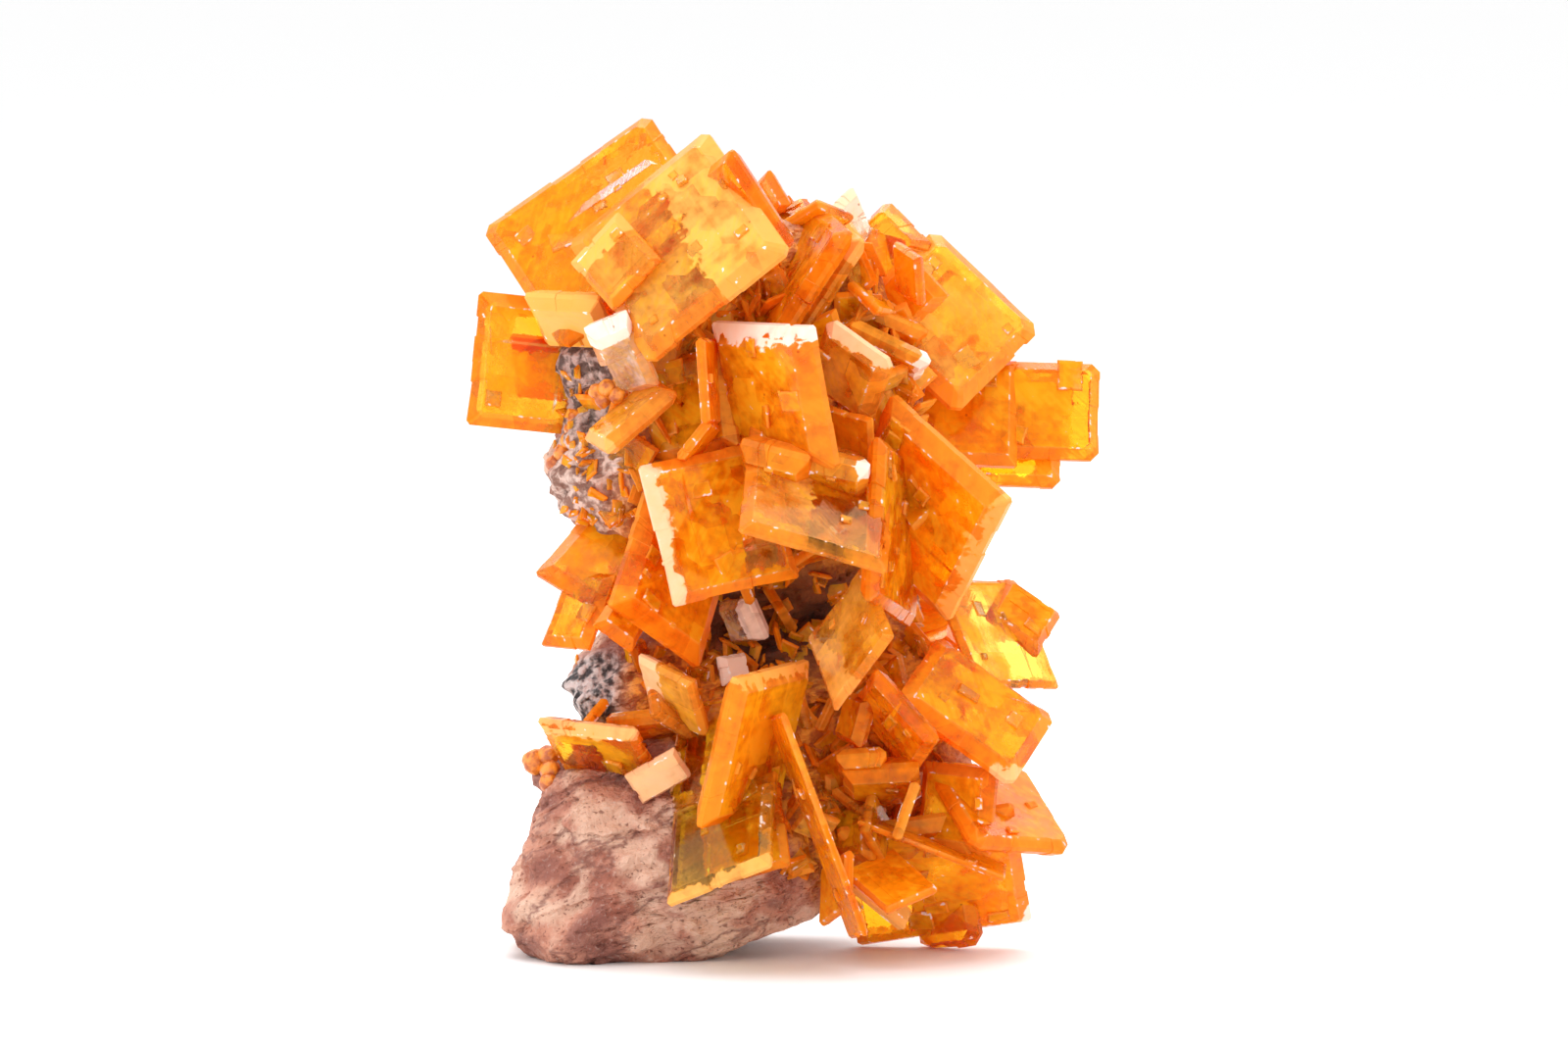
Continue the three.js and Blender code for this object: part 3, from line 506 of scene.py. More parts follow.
def wulfenite(name, passes, per_m, cloudy, deep):
    """A crystal that passes this much of each colour. Its veils run from the cloudy colour to the deep one."""
    look = Look(name)

    def carried(label):
        return look.apart(look.node("ShaderNodeAttribute", {"attribute_name": label}, None, 1))

    u, v, w = carried("own")
    half_u, half_v, bevel = carried("half")
    cloud, hue, seed = carried("nature")
    pane_u, pane_v, painted_sheen_strength = carried("pane")
    pane_wide, pane_high, _ = carried("pane_size")
    painted_sheen_u, painted_sheen_v, painted_sheen_from = carried("painted_sheen")
    across, along = u / half_u, v / half_v
    rim_u, rim_v = half_u - u.size(), half_v - v.size()
    rim = rim_u.least(rim_v)  # mm in from the nearest edge

    at = look.vector(u + seed, v - seed, w * 0.5 + seed)
    veils = look.noise(at, 0.34, 3)
    wisps = look.noise(at, 1.3, 5)
    layers = look.noise(look.vector(rim * 2.2 + seed, seed, 0), 1.0, 2)  # parallel to the outline
    fibres = look.noise(look.vector((u + v) * 0.3 + seed, (v - u) * 2.4, w + seed), 1.0, 4)
    cells = {"feature": "F1", "distance": "CHEBYCHEV"}
    cell = look.node("ShaderNodeTexVoronoi", cells, {"Vector": at, "Scale": 0.36, "Randomness": 0.9}, 1)
    zone, tilt_u, tilt_v = look.apart(cell)

    in_bevel = 1 - rim.between(bevel * 0.9, bevel * 1.05)
    edge = 1 - (rim - bevel).size().between(0.02, 0.12)
    which = (rim_v - rim_u).sign() * 0.7 + u.sign() * 0.31 + v.sign() * 0.17 + seed
    side = (which * 3.3).rest()  # each of the four bevels gets its own tone of painted reflection and shade
    away = ((across - pane_u).size() - pane_wide).most((along - pane_v).size() - pane_high)
    pane = 1 - (away + wisps * 0.3 - 0.15).between(-0.05, 0.02)
    # painted sheen: a pale band painted into the colour from a chosen side, for light reflected off the bevel; it
    # also clouds the crystal and favours the skin over the translucent glow
    ragged = across * painted_sheen_u + along * painted_sheen_v + (wisps - 0.5) * 0.5 + (zone - 0.5) * 0.16
    painted_sheen = ragged.between(painted_sheen_from, painted_sheen_from + 0.05) * (painted_sheen_strength * 3).least(1)

    mask = cloud + (veils - 0.5) * 1.1 + (zone - 0.5) * 0.3 + (wisps - 0.5) * 0.6 + (layers - 0.5) * 0.3
    mask = mask + in_bevel * 0.12 - pane * 0.8 + painted_sheen * 0.35
    cloudy_share = mask.between(0.16, 1.1) * MOST_VEILED

    tone = (veils * 2.2 + layers * 0.7 + fibres * 0.7 + wisps * 0.6 + hue - 2.1).between(-0.2, 1)
    body = look.mix(tone, (*deep, 1), (*cloudy, 1))
    bright = (fibres * 0.6 + wisps * 0.5 + zone * 0.1).between(0.6, 0.68)
    body = look.mix(bright * 0.6, body, (1, 0.55, 0.02, 1))
    # painted reflection and shade on the bevels: each of a tablet's four bevels is painted a darker red or a paler
    # orange, picked by chance, and laid over the rim
    painted_bevel_light_and_shade = look.mix(side, (1, 0.2, 0.003, 1), (1, 0.42, 0.05, 1))
    body = look.mix(in_bevel * 0.7, body, painted_bevel_light_and_shade)
    body = look.mix(edge * 0.5, body, (1, 0.45, 0.07, 1))
    # the painted sheen's colour: salmon where the sheen is weak, near white where it is strong
    painted_sheen_colour = look.mix((painted_sheen_strength * 2 - 1).most(0), (1, 0.46, 0.17, 1), (1, 0.82, 0.7, 1))
    body = look.mix(painted_sheen * (painted_sheen_strength * 0.7 + wisps * 0.4), body, painted_sheen_colour)
    specks = look.node("ShaderNodeTexVoronoi", None, {"Vector": at, "Scale": 0.42}, 0)
    body = look.mix((1 - specks.between(0.03, 0.055)) * 0.8, body, (0.16, 0.03, 0.004, 1))
    glint = (wisps + fibres * 0.5 + edge * 0.14).between(0.99, 1.03)
    body = look.mix(glint, body, (1, 0.95, 0.9, 1))
    cloudy_share = cloudy_share.most(glint)

    steps = (tilt_u - 0.5) * u * 0.03 + (tilt_v - 0.5) * v * 0.03 + zone * 0.05
    steps = steps + fibres * 0.05 + wisps * 0.04
    bump = look.node("ShaderNodeBump", None, {"Strength": 0.4, "Distance": 0.6 * MM, "Height": steps})

    frost = veils.between(0.5, 0.8) * 0.12 + 0.01
    shared = {"Specular Tint": AMBER, "Normal": bump}
    glass = shared | {"Base Color": (1, 1, 1, 1), "Transmission Weight": 1.0, "IOR": CLEAR_INDEX, "Roughness": frost}
    clear = look.node("ShaderNodeBsdfPrincipled", None, glass)
    skin = shared | {"Base Color": body, "Roughness": 0.16, "IOR": VEILED_INDEX}
    skin = look.node("ShaderNodeBsdfPrincipled", None, skin)
    passed_on = [(a + b) / 2 for a, b in zip(cloudy, deep)]
    glow = look.node("ShaderNodeBsdfTranslucent", None, {"Color": (*passed_on, 1), "Normal": bump})
    inside = look.node("ShaderNodeVolumeAbsorption", None, {"Color": (*passes, 1), "Density": per_m})
    return look.show(look.join(cloudy_share, clear, look.join(0.38 - painted_sheen * 0.3, skin, glow)), inside)


SHADES = {
    "orange": wulfenite("wulfenite", (1, 0.8, 0), 2500, (1, 0.42, 0.008), (1, 0.3, 0.001)),
    "yellow": wulfenite("wulfenite_yellow", (1, 0.83, 0), 2600, (1, 0.5, 0.01), (1, 0.36, 0.002)),
    "deep": wulfenite("wulfenite_deep", (1, 0.73, 0), 2800, (1, 0.36, 0.004), (1, 0.25, 0.001)),
    "pale": wulfenite("wulfenite_pale", (1, 0.88, 0.4), 1000, (1, 0.5, 0.1), (1, 0.36, 0.02)),
    "peach": wulfenite("wulfenite_peach", (1, 0.88, 0.04), 1900, (1, 0.56, 0.09), (1, 0.45, 0.02)),
    "olive": wulfenite("wulfenite_olive", (0.96, 0.88, 0.03), 1500, (1, 0.5, 0.02), (0.95, 0.38, 0.004)),
    # painted glint: the white shade's near-white cloudy colour paints tablets that glint white with reflected light
    "white": wulfenite("wulfenite_painted_glint", (1, 0.9, 0.5), 500, (0.95, 0.8, 0.72), (1, 0.5, 0.25)),
}
print(len(SHADES), "crystal materials")

# %% [markdown]
# ## The crystals of the specimen
#
# Each piece takes the place of one solid of the frame. What sets one tablet apart is in one table, one entry per
# tablet: its shade, how clouded it is, a clear pane (its middle and half size, from -1 to 1 across the tablet), and
# the side that carries a painted sheen, a pale band painted into the colour for light reflected off that side.

# %% Crystal pieces
OF_EACH = {
    "window_plate": [dict(shade="pale", cloud=0.62, pane=(-0.4, -0.2), pane_size=(0.5, 0.6))],
    "pearl_plate": [dict(cloud=0.8, pane=(0.5, -0.5), pane_size=(0.3, 0.25), painted_sheen=(-1, 0, 0.76), painted_sheen_strength=0.74)],
    "crown_front_plates": [
        dict(shade="peach", cloud=0.62, hue=0.7, painted_sheen=(0, -1, 0.1), painted_sheen_strength=0.24),
        dict(shade="orange", cloud=0.6),
        dict(shade="peach", cloud=0.7, painted_sheen=(0, -1, 0.3), painted_sheen_strength=0.3),
    ],
    "crown_left_plates": [
        dict(cloud=0.62, pane=(-0.5, -0.3), pane_size=(0.34, 0.4)),
        dict(shade="peach", cloud=0.9, painted_sheen=(0, 0, -1), painted_sheen_strength=0.3),
    ],
    # the white shade and full sheen of the sparkling block are painted glints
    "sparkling_block": [
        dict(shade="white", cloud=0.6, painted_sheen=(0, -1, 0.2), painted_sheen_strength=1),
        dict(shade="white", cloud=0.5),
    ],
    "centre_plate": [
        dict(cloud=0.78, hue=0.6, painted_sheen=(0, -1, 0.76), painted_sheen_strength=1),
        dict(shade="deep", cloud=0.9),
        dict(shade="deep", cloud=0.9),
        dict(cloud=0.75, hue=0.7),
        dict(cloud=0.7, painted_sheen=(1, -1, 1.5), painted_sheen_strength=1),
    ],
    "right_of_centre_plate": [dict(shade="peach", cloud=0.7, painted_sheen=(0, -1, 0.76), painted_sheen_strength=0.7)],
    "lower_centre_plates": [
        dict(shade="yellow", cloud=0.78, hue=0.7, painted_sheen=(0, -1, 0.84), painted_sheen_strength=0.3),
        dict(shade="yellow", cloud=0.6, pane=(0.2, -0.3), pane_size=(0.5, 0.3), painted_sheen=(0, -1, 0.8), painted_sheen_strength=0.7),
    ],
    "olive_plates": [
        dict(shade="olive", cloud=0.42, pane=(0.2, 0), pane_size=(0.75, 0.75), painted_sheen=(0, -1, 0.84), painted_sheen_strength=0.34),
        dict(cloud=0.62),
    ],
    "hidden_plate": [dict(cloud=0.75)],
    "right_front_plates": [
        dict(cloud=0.78, painted_sheen=(1, 0, 0.84), painted_sheen_strength=0.3),
        dict(cloud=0.7),
        dict(cloud=0.8),
    ],
    "diamond_plate": [dict(shade="peach", cloud=0.6, painted_sheen=(-1, 0.3, 0.4), painted_sheen_strength=0.24)],
    "lower_right_plates": [
        dict(cloud=0.68, hue=0.7, painted_sheen=(1, 1, 1.6), painted_sheen_strength=0.6),
        dict(cloud=0.7),
    ],
    "pale_plate": [dict(shade="pale", cloud=0.7, painted_sheen=(0, 0, -1), painted_sheen_strength=0.7)],
    "left_plates": [
        dict(shade="yellow", cloud=0.64, pane=(-0.45, 0.1), pane_size=(0.26, 0.55)),
        dict(cloud=0.85, hue=0.65),
    ],
    "tongue_plate": [dict(shade="peach", cloud=0.6, painted_sheen=(-1, 0, 0.76), painted_sheen_strength=0.5)],
    "crown_stack": [
        dict(cloud=0.7),
        dict(shade="peach", cloud=0.75, painted_sheen=(-1, 0, 0.5), painted_sheen_strength=0.3),
        dict(shade="peach", cloud=0.7, painted_sheen=(0, -1, 0.2), painted_sheen_strength=0.3),
    ],
    # the white shade here is a painted glint
    "white_spike": [dict(shade="white", cloud=0.6, painted_sheen=(0, -1, 0), painted_sheen_strength=0.8)],
    "back_right_plate": [dict(shade="yellow", cloud=0.6, pane=(0, 0), pane_size=(0.6, 0.6))],
    "right_upper_plates": [dict(shade="peach", cloud=0.7), dict(cloud=0.8)],
    "bar_plates": [dict(cloud=0.7), dict(cloud=0.7, painted_sheen=(1, 0, 0.7), painted_sheen_strength=1)],
    "right_stepped_plates": [
        dict(shade="yellow", cloud=0.72, pane=(0.62, 0), pane_size=(0.2, 0.8)),
        dict(shade="yellow", cloud=0.72, pane=(0, 0.62), pane_size=(0.5, 0.18)),
        dict(cloud=0.8),
    ],
    "left_low_plate": [
        dict(shade="yellow", cloud=0.55, pane=(-0.3, 0), pane_size=(0.4, 0.5), painted_sheen=(0, -1, 0.84), painted_sheen_strength=0.56),
    ],
    "pink_blades": [
        dict(shade="peach", cloud=0.7, painted_sheen=(-1, 0, 0.2), painted_sheen_strength=0.7),
        dict(shade="pale", cloud=0.7, painted_sheen=(0, -1, 0.2), painted_sheen_strength=0.8),
    ],
    "far_right_plates": [
        dict(shade="yellow", cloud=0.6, pane=(0.5, -0.3), pane_size=(0.35, 0.4)),
        dict(cloud=0.75),
    ],
    "right_low_plates": [dict(shade="deep", cloud=0.86, hue=0.65), dict(cloud=0.75)],
    "bottom_right_plates": [
        dict(cloud=0.78, pane=(0.6, -0.4), pane_size=(0.3, 0.35), painted_sheen=(-1, -1, 1.75), painted_sheen_strength=1),
        dict(cloud=0.7),
    ],
    "peach_bar": [dict(shade="peach", cloud=0.9, painted_sheen=(0, 0, -1), painted_sheen_strength=0.4)],
    "frosted_plate": [dict(shade="yellow", cloud=0.6)],
    # the white shade and full sheen of these two blocks are painted glints
    "recess_block": [dict(shade="white", cloud=0.4, painted_sheen=(1, 0, 0.3), painted_sheen_strength=1)],
    "recess_bright_block": [dict(shade="white", cloud=0.9, painted_sheen=(0, 0, -1), painted_sheen_strength=1)],
}


def riders(t, rng):
    """Small plates that grew nearly parallel on a large one's front face."""
    front = -1 if t["z"].dot(AHEAD) > 0 else 1
    made = []
    for _ in range(int(t["w"] * t["h"] / 22)):
        u, v = rng.uniform(-0.38, 0.38, 2) * (t["w"], t["h"])
        middle = t["middle"] + t["x"] * u + t["y"] * v + t["z"] * front * (t["thick"] / 2 + rng.uniform(-0.1, 0.12))
        lean = Euler(rng.normal(0, (0.12, 0.12, 0.25))).to_matrix()
        edge = rng.uniform(0.5, 1.9)
        sides = lean @ t["x"] * edge, lean @ t["y"] * edge * rng.uniform(0.5, 1.3)
        grown = tablet(middle, *sides, rng.uniform(0.2, 0.4), 0.12)
        made.append(grown | {k: t[k] for k in ("shade", "cloud", "hue") if k in t})
    return made


for seed, (name, tablets) in enumerate(CRYSTALS.items()):
    own_way = OF_EACH.get(name, [{}] * len(tablets))
    dressed = [t | extra for t, extra in zip(tablets, own_way, strict=True)]
    dressed += [rider for t in dressed for rider in riders(t, chance(seed + 700))]
    piece = crystal_piece(name + "_crystal", dressed, SHADES, seed + 1)
    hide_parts(name)
    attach(piece, "root")
print("crystals made")

# %% [markdown]
# ## The rock
#
# The rock is one skin through level sections. It follows the same sections and fracture faces as its solid in the
# frame, but at a much finer grain, and then several sizes of noise break it up. A displaced low mesh would also work.
# Working the points out directly keeps the result inside the solid's box and easy to predict.

# %% Sections and fracture faces
# Each section: its row, left and right in the picture, in pixels, and its front and back in mm
ROCK = [
    (990, 566, 716, -5.6, 7.5),
    (966, 536, 740, -7.5, 9.3),
    (942, 517, 804, -8.8, 10.6),
    (918, 517, 852, -9, 11.4),
    (893, 524, 930, -8.8, 11.6),
    (865, 528, 985, -8.6, 11.2),
    (838, 534, 1000, -8, 10.6),
    (812, 544, 1002, -7, 10),
    (788, 548, 1002, -5, 9.4),
    (766, 580, 1000, -3, 9.2),
    (735, 594, 996, -2.8, 9),
    (700, 578, 984, -2.4, 9.2),
    (668, 594, 966, 0, 9.6),
    (630, 630, 944, 2, 10),
    (590, 630, 934, 0.6, 10),
    (550, 606, 932, -1.8, 10),
    (515, 570, 938, -3.2, 10),
    (480, 556, 940, -3.8, 10),
    (440, 572, 944, -4, 10),
    (400, 580, 944, -4, 9.8),
    (360, 574, 938, -3.6, 9.3),
    (325, 592, 926, -3, 8.8),
    (290, 640, 906, -2.4, 8.2),
    (256, 686, 882, -1.4, 7.2),
    (222, 744, 838, 1, 5.8),
]

# Each fracture: the rows that it runs through, a point on it (pixels, then mm back) and the way it looks
FRACTURES = [
    ((800, 950), (522, 915, 0), (-0.95, 0, 0.3)),
    ((935, 990), (527, 962, 0), (-0.72, 0, -0.69)),
    ((780, 990), (560, 890, -6.2), (-0.62, -0.78, 0.08)),
    ((780, 925), (640, 860, -6.6), (0.05, -0.88, 0.47)),
    ((900, 990), (650, 955, -7.2), (0.12, -0.86, -0.5)),
    ((780, 990), (780, 900, -6.4), (0.62, -0.77, -0.15)),
    ((860, 990), (790, 950, 0), (0.5, 0, -0.87)),
    ((780, 990), (570, 880, 8.4), (-0.66, 0.74, 0.12)),
    ((800, 990), (680, 930, 9.6), (0.08, 0.93, -0.35)),
    ((700, 930), (690, 850, 9.4), (-0.1, 0.9, 0.42)),
    ((640, 900), (840, 800, 7.4), (0.62, 0.78, 0)),
    ((500, 760), (650, 640, 7.4), (-0.55, 0.83, -0.1)),
    ((420, 640), (840, 530, 8.2), (0.4, 0.91, 0.12)),
    ((330, 560), (700, 450, 8.6), (-0.22, 0.95, -0.2)),
    ((240, 420), (640, 350, 6.6), (-0.6, 0.74, 0.3)),
    ((222, 400), (820, 300, 6.8), (0.3, 0.88, 0.36)),
]


# %% Noise in space
def lattice(p, seed):
    """Smooth chance between -1 and 1 at each row of p."""
    cell = np.floor(p).astype(np.int64)
    t = p - cell
    t = t * t * (3 - 2 * t)
    total = np.zeros(len(p))
    for corner in range(8):
        bit = np.array([(corner >> k) & 1 for k in range(3)])
        c = cell + bit
        mixed = c[:, 0] * 73856093 ^ c[:, 1] * 19349663 ^ c[:, 2] * 83492791 ^ (seed * 2654435761)
        mixed = (mixed ^ (mixed >> 13)) * 1274126177
        value = ((mixed ^ (mixed >> 16)) & 0xFFFF) / 32767.5 - 1
        share = np.prod(np.where(bit, t, 1 - t), axis=1)
        total += value * share
    return total


def rough(p, scale, octaves, seed):
    total, weight = np.zeros(len(p)), 1.0
    for k in range(octaves):
        total += weight * lattice(p * scale * 2**k + 17.3 * k, seed + k)
        weight *= 0.5
    return total


# %% The rock's surface
SQUARENESS = 2.7
BROKEN, LEDGE_EVERY, LEDGE_LEAN, LEDGE_DEPTH, FLATTENED = 1.05, 4.3, 0.34, 0.36, 0.88
LEVELS, ROUND = 260, 240


def uneven(p):
    x, y, z = p.T
    return (
        0.45 * np.sin(0.83 * x + 0.61 * z + 1.3) * np.cos(0.72 * y - 0.31 * x)
        + 0.33 * np.sin(1.71 * z + 1.17 * y + 0.4) * np.sin(1.43 * x - 0.52 * z + 2.1)
        + 0.22 * np.sin(2.9 * x + 0.7) * np.sin(2.6 * y + 1.9) * np.sin(2.75 * z)
    )


def within_bed(p):
    x, y, z = p.T
    height = (z - LEDGE_LEAN * x + 0.12 * y + 0.5 * np.sin(0.4 * x)) / LEDGE_EVERY
    return 1 - (height - np.floor(height))


def rock_ring(row, left_edge, right_edge, front, back):
    turn = np.linspace(0, tau, ROUND, endpoint=False)
    middle_y = (front + back) / 2
    left, _ = seen((left_edge, row), middle_y)
    right, _ = seen((right_edge, row), middle_y)
    out = np.column_stack([np.cos(turn), np.sin(turn), np.zeros(ROUND)])
    bend = np.sign(out) * np.abs(out) ** (2 / SQUARENESS)
    ring = np.column_stack([
        (left.x + right.x) / 2 + bend[:, 0] * (right.x - left.x) / 2,
        middle_y + bend[:, 1] * (back - front) / 2,
        np.full(ROUND, left.z),
    ])
    for (first, last), at, looks in FRACTURES:
        if first <= row <= last:
            normal = np.array(Vector(looks).normalized())
            over = (ring - np.array(seen(at, at[2])[0])) @ normal
            ring -= FLATTENED * np.outer(np.maximum(over, 0), normal)
    side = 0.4 + 0.6 * np.abs(out[:, 1])
    coarse = BROKEN * uneven(ring) + LEDGE_DEPTH * (within_bed(ring) - 0.6)
    ring += out * (side * coarse)[:, None]
    return ring, out


def rock_points():
    table = np.array(ROCK, float)
    rows = np.interp(np.linspace(0, len(table) - 1, LEVELS), range(len(table)), table[:, 0])
    rings = []
    for row in rows:
        rings.append(rock_ring(*[np.interp(-row, -table[:, 0], column) for column in table.T]))
    p = np.concatenate([r[0] for r in rings])
    out = np.concatenate([r[1] for r in rings])
    x, y, z = p.T
    q = np.column_stack([0.7 * x, 0.7 * y, 1.1 * (z - LEDGE_LEAN * x)])  # drawn out along the beds
    folds = np.minimum(np.abs(rough(q, 0.3, 3, 33)), 0.5) - 0.25
    cracks = np.exp(-((rough(q, 0.22, 4, 61) / 0.05) ** 2))
    fine = 0.36 * rough(p, 0.36, 4, 3) + 0.6 * folds + 0.05 * rough(q, 2.2, 3, 9) + 0.05 * rough(p, 3, 3, 5)
    pits = np.maximum(0, rough(p, 1.3, 2, 21) - 0.5)
    p = p + out * (fine - 0.8 * pits - 0.35 * cracks - 0.02)[:, None]
    p[:, 2] = np.maximum(p[:, 2], 0)
    return p


def rock_piece():
    p = rock_points()
    faces = []
    for k in range(LEVELS - 1):
        a, b = k * ROUND, (k + 1) * ROUND
        faces += [(a + i, a + (i + 1) % ROUND, b + (i + 1) % ROUND, b + i) for i in range(ROUND)]
    faces.append(tuple(range(ROUND))[::-1])
    faces.append(tuple(range(len(p) - ROUND, len(p))))
    mesh = bpy.data.meshes.new("rock")
    mesh.from_pydata((p * MM).tolist(), [], faces)
    mesh.update()
    return put("rock", mesh)


rock = rock_piece()
print(len(rock.data.vertices), "points in the rock")

# %% [markdown]
# ## The rock's colour
#
# Pink and cream drawn out along the beds, with dark grains and creases. A knob of dark grey and white grain stands at
# the left, the recess in the middle is darkened to deep brown as painted shade, and the rock behind the crystals has
# an orange crust. Place decides which colour wins, so a few soft spheres in space act as masks.


# %% Rock material
def rock_look():
    look = Look("matrix_rock")
    mm = look.place_in_mm()
    x, y, z = look.apart(mm)

    def ball(pixel, depth, reach):
        centre, _ = seen(pixel, depth)
        apart = look.node("ShaderNodeVectorMath", {"operation": "DISTANCE"}, {0: mm, 1: tuple(centre)}, 1)
        return 1 - apart.between(reach * 0.55, reach)

    beds = look.vector(x * 0.4, y * 0.4, (z - x * 0.34) * 0.9)  # drawn out along the beds
    streaks = look.noise(beds, 0.6, 6)
    creases = (look.noise(beds, 0.26, 5) - 0.5).size()
    blotches = look.noise(mm, 0.2, 5)
    grain = look.noise(mm, 3, 6)
    colour = look.mix(streaks.between(0.36, 0.64), (0.33, 0.11, 0.07, 1), (0.54, 0.24, 0.16, 1))
    colour = look.mix(blotches.between(0.48, 0.6) * 0.8, colour, (0.7, 0.45, 0.33, 1))
    colour = look.mix((1 - blotches.between(0.38, 0.48)) * 0.6, colour, (0.2, 0.07, 0.055, 1))
    colour = look.mix((1 - creases.between(0, 0.02)) * 0.75, colour, (0.2, 0.07, 0.05, 1))
    colour = look.mix(grain.between(0.55, 0.75) * 0.3, colour, (0.75, 0.6, 0.52, 1))
    colour = look.mix((1 - grain.between(0.32, 0.42)) * 0.75, colour, (0.16, 0.05, 0.03, 1))

    speckle = look.noise(mm, 1.3, 6)
    mottle = look.mix(speckle.between(0.42, 0.6), (0.04, 0.034, 0.036, 1), (0.6, 0.5, 0.48, 1))
    colour = look.mix(ball((596, 700), 0, 4.2), colour, mottle)
    strip = look.mix(speckle.between(0.42, 0.6), (0.06, 0.04, 0.035, 1), (0.5, 0.34, 0.3, 1))
    colour = look.mix(ball((585, 400), 0, 6) * 0.85, colour, strip)
    pinkish = look.mix(speckle.between(0.4, 0.6), (0.22, 0.11, 0.08, 1), (0.74, 0.54, 0.46, 1))
    colour = look.mix(ball((600, 510), -2, 6) * 0.85, colour, pinkish)
    # painted shade in the recess in the middle: a dark brown laid over two soft spheres
    inner = look.mix(blotches.between(0.35, 0.65), (0.05, 0.012, 0.004, 1), (0.22, 0.06, 0.008, 1))
    for pixel in ((780, 650), (820, 605)):
        colour = look.mix(ball(pixel, 0, 8) * 0.9, colour, inner)
    crusted = look.mix(speckle.between(0.4, 0.6), (0.5, 0.12, 0.006, 1), (0.9, 0.34, 0.02, 1))
    places = (((800, 420), 0, 13), ((740, 300), 0, 9), ((900, 300), 0, 9), ((700, 520), 0, 7), ((870, 500), 0, 7))
    places += (((850, 790), -2, 9), ((940, 690), 0, 8), ((900, 870), -3, 7), ((690, 700), -1, 5))
    for pixel, depth, reach in places:
        colour = look.mix(ball(pixel, depth, reach) * 0.9, colour, crusted)
    height = grain * 0.6 + blotches * 0.6 + speckle * 0.7 + creases.between(0, 0.05) * 0.6
    bump = look.node("ShaderNodeBump", None, {"Strength": 0.8, "Distance": 0.45 * MM, "Height": height})
    values = {"Base Color": colour, "Roughness": grain * 0.25 + 0.68, "Normal": bump}
    return look.show(look.node("ShaderNodeBsdfPrincipled", None, values))


rock.data.materials.append(rock_look())
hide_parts("matrix")
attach(rock, "root")

# %% [markdown]
# ## Small crystals on the rock
#
# Between the large tablets the rock is crowded with small ones. The clumps that the solid already has come first, by
# the same rule, and then a finer generation settles round them.

# %% Clumps
# Each clump: its middle (pixels, or mm on the back), its spread in mm, how many tablets, and their edge in mm
CLUMPS = [
    ((645, 428), (2.4, 2.6), 3, 2.6),
    ((712, 446), (2.4, 2.4), 3, 3),
    ((672, 690), (3, 3.6), 3, 2.6),
    ((790, 590), (4, 2.6), 3, 2.6),
    ((770, 748), (4.6, 2.6), 3, 3.4),
    ((870, 745), (4.2, 4.4), 4, 4),
    ((850, 850), (3, 3.6), 3, 3.2),
    ((905, 850), (2, 3), 3, 4),
    ((800, 272), (3.8, 4), 3, 3.3),
    ((905, 330), (2.6, 4.6), 3, 3.4),
    ((925, 560), (1.6, 5.4), 3, 3.4),
    ((700, 260), (3.4, 3.4), 2, 6),
    ((790, 400), (3, 3), 2, 6.4),
    ((750, 545), (3.4, 2), 2, 6.4),
    ((850, 520), (3, 2), 2, 7),
    ((622, 738), (2.4, 1.2), 2, 2.4),
]

BACK_CLUMPS = [
    ((16.5, 9, 46.6), (3.8, 3.4), 3, 3.1),
    ((22, 9, 37), (2, 5), 3, 3.4),
    ((20, 9, 20), (2.4, 5), 3, 3),
    ((2, 8.6, 40), (2.4, 4), 3, 2.6),
]

SMALL_THICK, SMALL_RIM = 0.75, 0.2
GOLDEN_TURN = 2.39996  # radians between neighbours in a sunflower's head, which spreads points evenly


def share(i, step):
    return (0.5 + i * step) % 1


def on_rock(x, z, back):
    *_, front_y, back_y = next((s for s in ROCK if seen((STANDS_AT_X, s[0]), 0)[0].z > z), ROCK[-1])
    return back_y - 0.6 if back else front_y + 0.8


def clump(at, spread, count, size, seed):
    back = len(at) == 3
    middle = Vector(at) if back else seen(at, 0)[0]
    tablets = []
    for i in range(1, count + 1):
        n = seed * 13 + i
        away, turn = sqrt(i / count), GOLDEN_TURN * i
        x = middle.x + spread[0] * away * cos(turn)
        z = middle.z + spread[1] * away * sin(turn)
        rx, ry, rz = 2.6 * share(n, 0.7549) - 1.3, 2.8 * share(n, 0.5698) - 1.4, 3.1 * share(n, 0.3247)
        turned = [Euler(a).to_matrix() for a in ((rx, 0, 0), (0, ry, 0), (0, 0, rz))]
        pose = turned[0] @ turned[1] @ turned[2]
        edge = size * (0.6 + 0.8 * share(n, 0.618))
        u = pose @ Vector((edge, 0, 0))
        v = pose @ Vector((0, edge * (0.8 + 0.4 * share(n, 0.414)), 0))
        stand = 0.25 * edge * share(n, 0.2361) * (1 if back else -1)
        tablets.append(tablet(Vector((x, on_rock(x, z, back) + stand, z)), u, v, SMALL_THICK, SMALL_RIM))
    return tablets


# %% Finer growth
WELL_BEHIND_MM = 60
SKIN = BVHTree.FromPolygons([v.co / MM for v in rock.data.vertices], [f.vertices[:] for f in rock.data.polygons])

